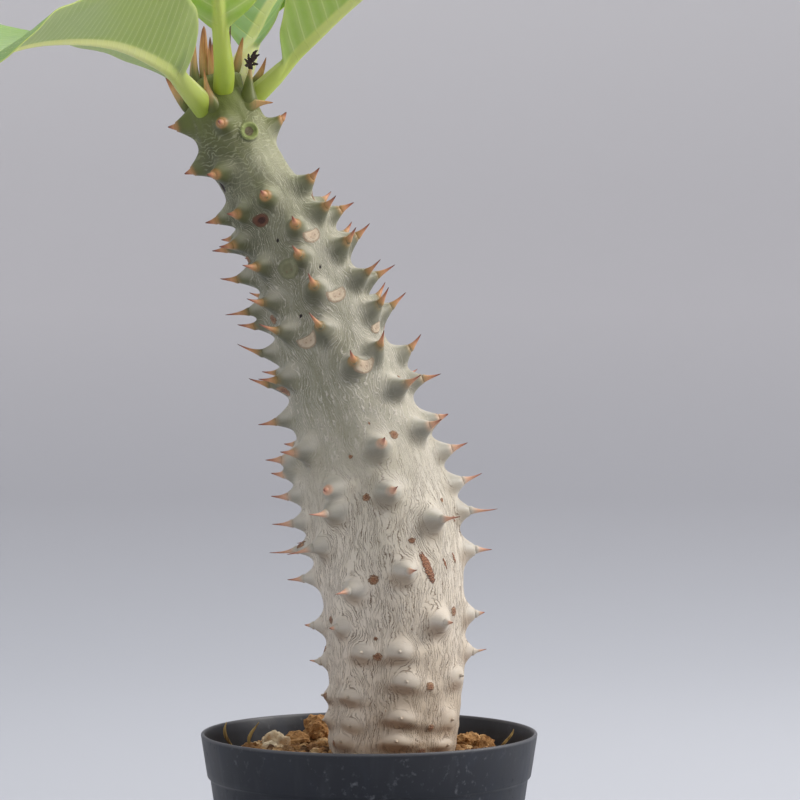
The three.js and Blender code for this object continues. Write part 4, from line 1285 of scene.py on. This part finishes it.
def makePumice(material):
    dice = random.Random(5)
    for number, (x, y, radius) in enumerate(pumiceStones, 1):
        points, faces = crumb(4, radius, dice)
        z = soilHeight(math.hypot(x, y)) + radius * pumiceLift
        makePiece(f"pumiceStone{number}", points + (x, y, z), faces, material, "pumice",
                  (f"pumice_{number}",))


# Along a scrap: share of its length, and width
scrapForm = {"places": [0, 0.4, 0.62, 0.8, 1], "widths": [0.32, 0.4, 0.68, 0.52, 0.1], "sides": 10,
             "rings": 22, "sink": 3.0, "bow": 1.5, "flatness": 0.55, "twist": 1.4}


def makeScraps(material):
    form = scrapForm
    t = np.linspace(0, 1, form["rings"])
    width = np.interp(t, form["places"], form["widths"])
    for number, (foot, tip, rise) in enumerate(dryScraps, 1):
        ground = soilHeight(math.hypot(*foot))
        start = np.array([*foot, ground - form["sink"]])
        along = np.array([*tip, ground + rise]) - start
        centres = start + t[:, None] * along
        centres[:, 0] += form["bow"] * np.sin(math.pi * t * 1.6 + number)
        points = tube(centres, width, form["sides"], (1, 0, 0), (0, 1, 0), form["flatness"],
                      form["twist"] * t)
        makePiece(f"dryScrap{number}", points, closedFaces(form["rings"], form["sides"]), material,
                  "dry_scrap", (f"dry_scrap_{number}",))


def scrapMaterial():
    material, tree = newMaterial("driedStem")
    where = objectPlace(tree)
    fibre = cloud(where * (1.0, 1.0, 0.2), 900, 3, 0.6)
    surface(tree, {"Base Color": mixed(fibre.ramp(0.3, 0.7), (108, 84, 46), (190, 162, 100)),
                   "Roughness": 0.8}, fibre, 0.6, 0.0003)
    return material


makeSoil(soilMaterial())
makePumice(pumiceMaterial())
makeScraps(scrapMaterial())
print("soil is made")


# Stage: a pale floor that curves up all round, and soft light

stage = {"flat": 1.0, "curve": 3.0, "wall": 3.6, "sides": 96, "curveRings": 32}


def makeStage():
    edge, curve = stage["flat"], stage["curve"]
    profile = [(0.001, 0)] + [(r, 0) for r in np.linspace(0.2, edge, 6)]
    profile += [(edge + curve * math.sin(a), curve * (1 - math.cos(a)))
                for a in np.linspace(0.03, 1, stage["curveRings"]) * math.pi / 2]
    profile.append((edge + curve, stage["wall"]))
    faces = [face[::-1] for face in gridFaces(len(profile), stage["sides"])]
    mesh = bpy.data.meshes.new("backdrop")
    mesh.from_pydata(lathe(profile, stage["sides"]), [], faces)
    mesh.shade_smooth()
    floor = bpy.data.objects.new("backdrop", mesh)
    scene.collection.objects.link(floor)
    material, tree = newMaterial("palePaper")
    level = objectPlace(tree).part(2)
    paper = toneRamp(
        level, (0.0, 186, 189, 196), (0.1, 182, 183, 189), (0.3, 212, 211, 215), (0.85, 240, 239, 241))
    surface(tree, {"Base Color": paper, "Roughness": 0.9})
    mesh.materials.append(material)


lightsAim = (0, 0, 0.22)
room = {"tone": (0.9, 0.9, 0.93, 1), "strength": 0.6}
lights = [
    {"name": "keyLight", "place": (1.5, -0.1, 1.15), "size": 0.6, "power": 27, "tone": (1, 0.97, 0.93)},
    {"name": "fillLight", "place": (-1.5, -1.2, 0.7), "size": 1.4, "power": 5, "tone": (0.93, 0.96, 1)},
    {"name": "topLight", "place": (0.1, 0.7, 1.5), "size": 1.0, "power": 9, "tone": (1, 1, 1)},
]


def makeLights():
    for light in lights:
        data = bpy.data.lights.new(light["name"], "AREA")
        data.size = light["size"]
        data.energy = light["power"]
        data.color = light["tone"]
        lamp = bpy.data.objects.new(light["name"], data)
        lamp.location = light["place"]
        aim = Vector(lightsAim) - Vector(light["place"])
        lamp.rotation_euler = aim.to_track_quat("-Z", "Y").to_euler()
        scene.collection.objects.link(lamp)
    world = bpy.data.worlds.new("studio")
    world.use_nodes = True
    background = world.node_tree.nodes["Background"]
    background.inputs["Color"].default_value = room["tone"]
    background.inputs["Strength"].default_value = room["strength"]
    scene.world = world
    scene.view_settings.view_transform = "Standard"


makeStage()
makeLights()
print("stage and lights are set")
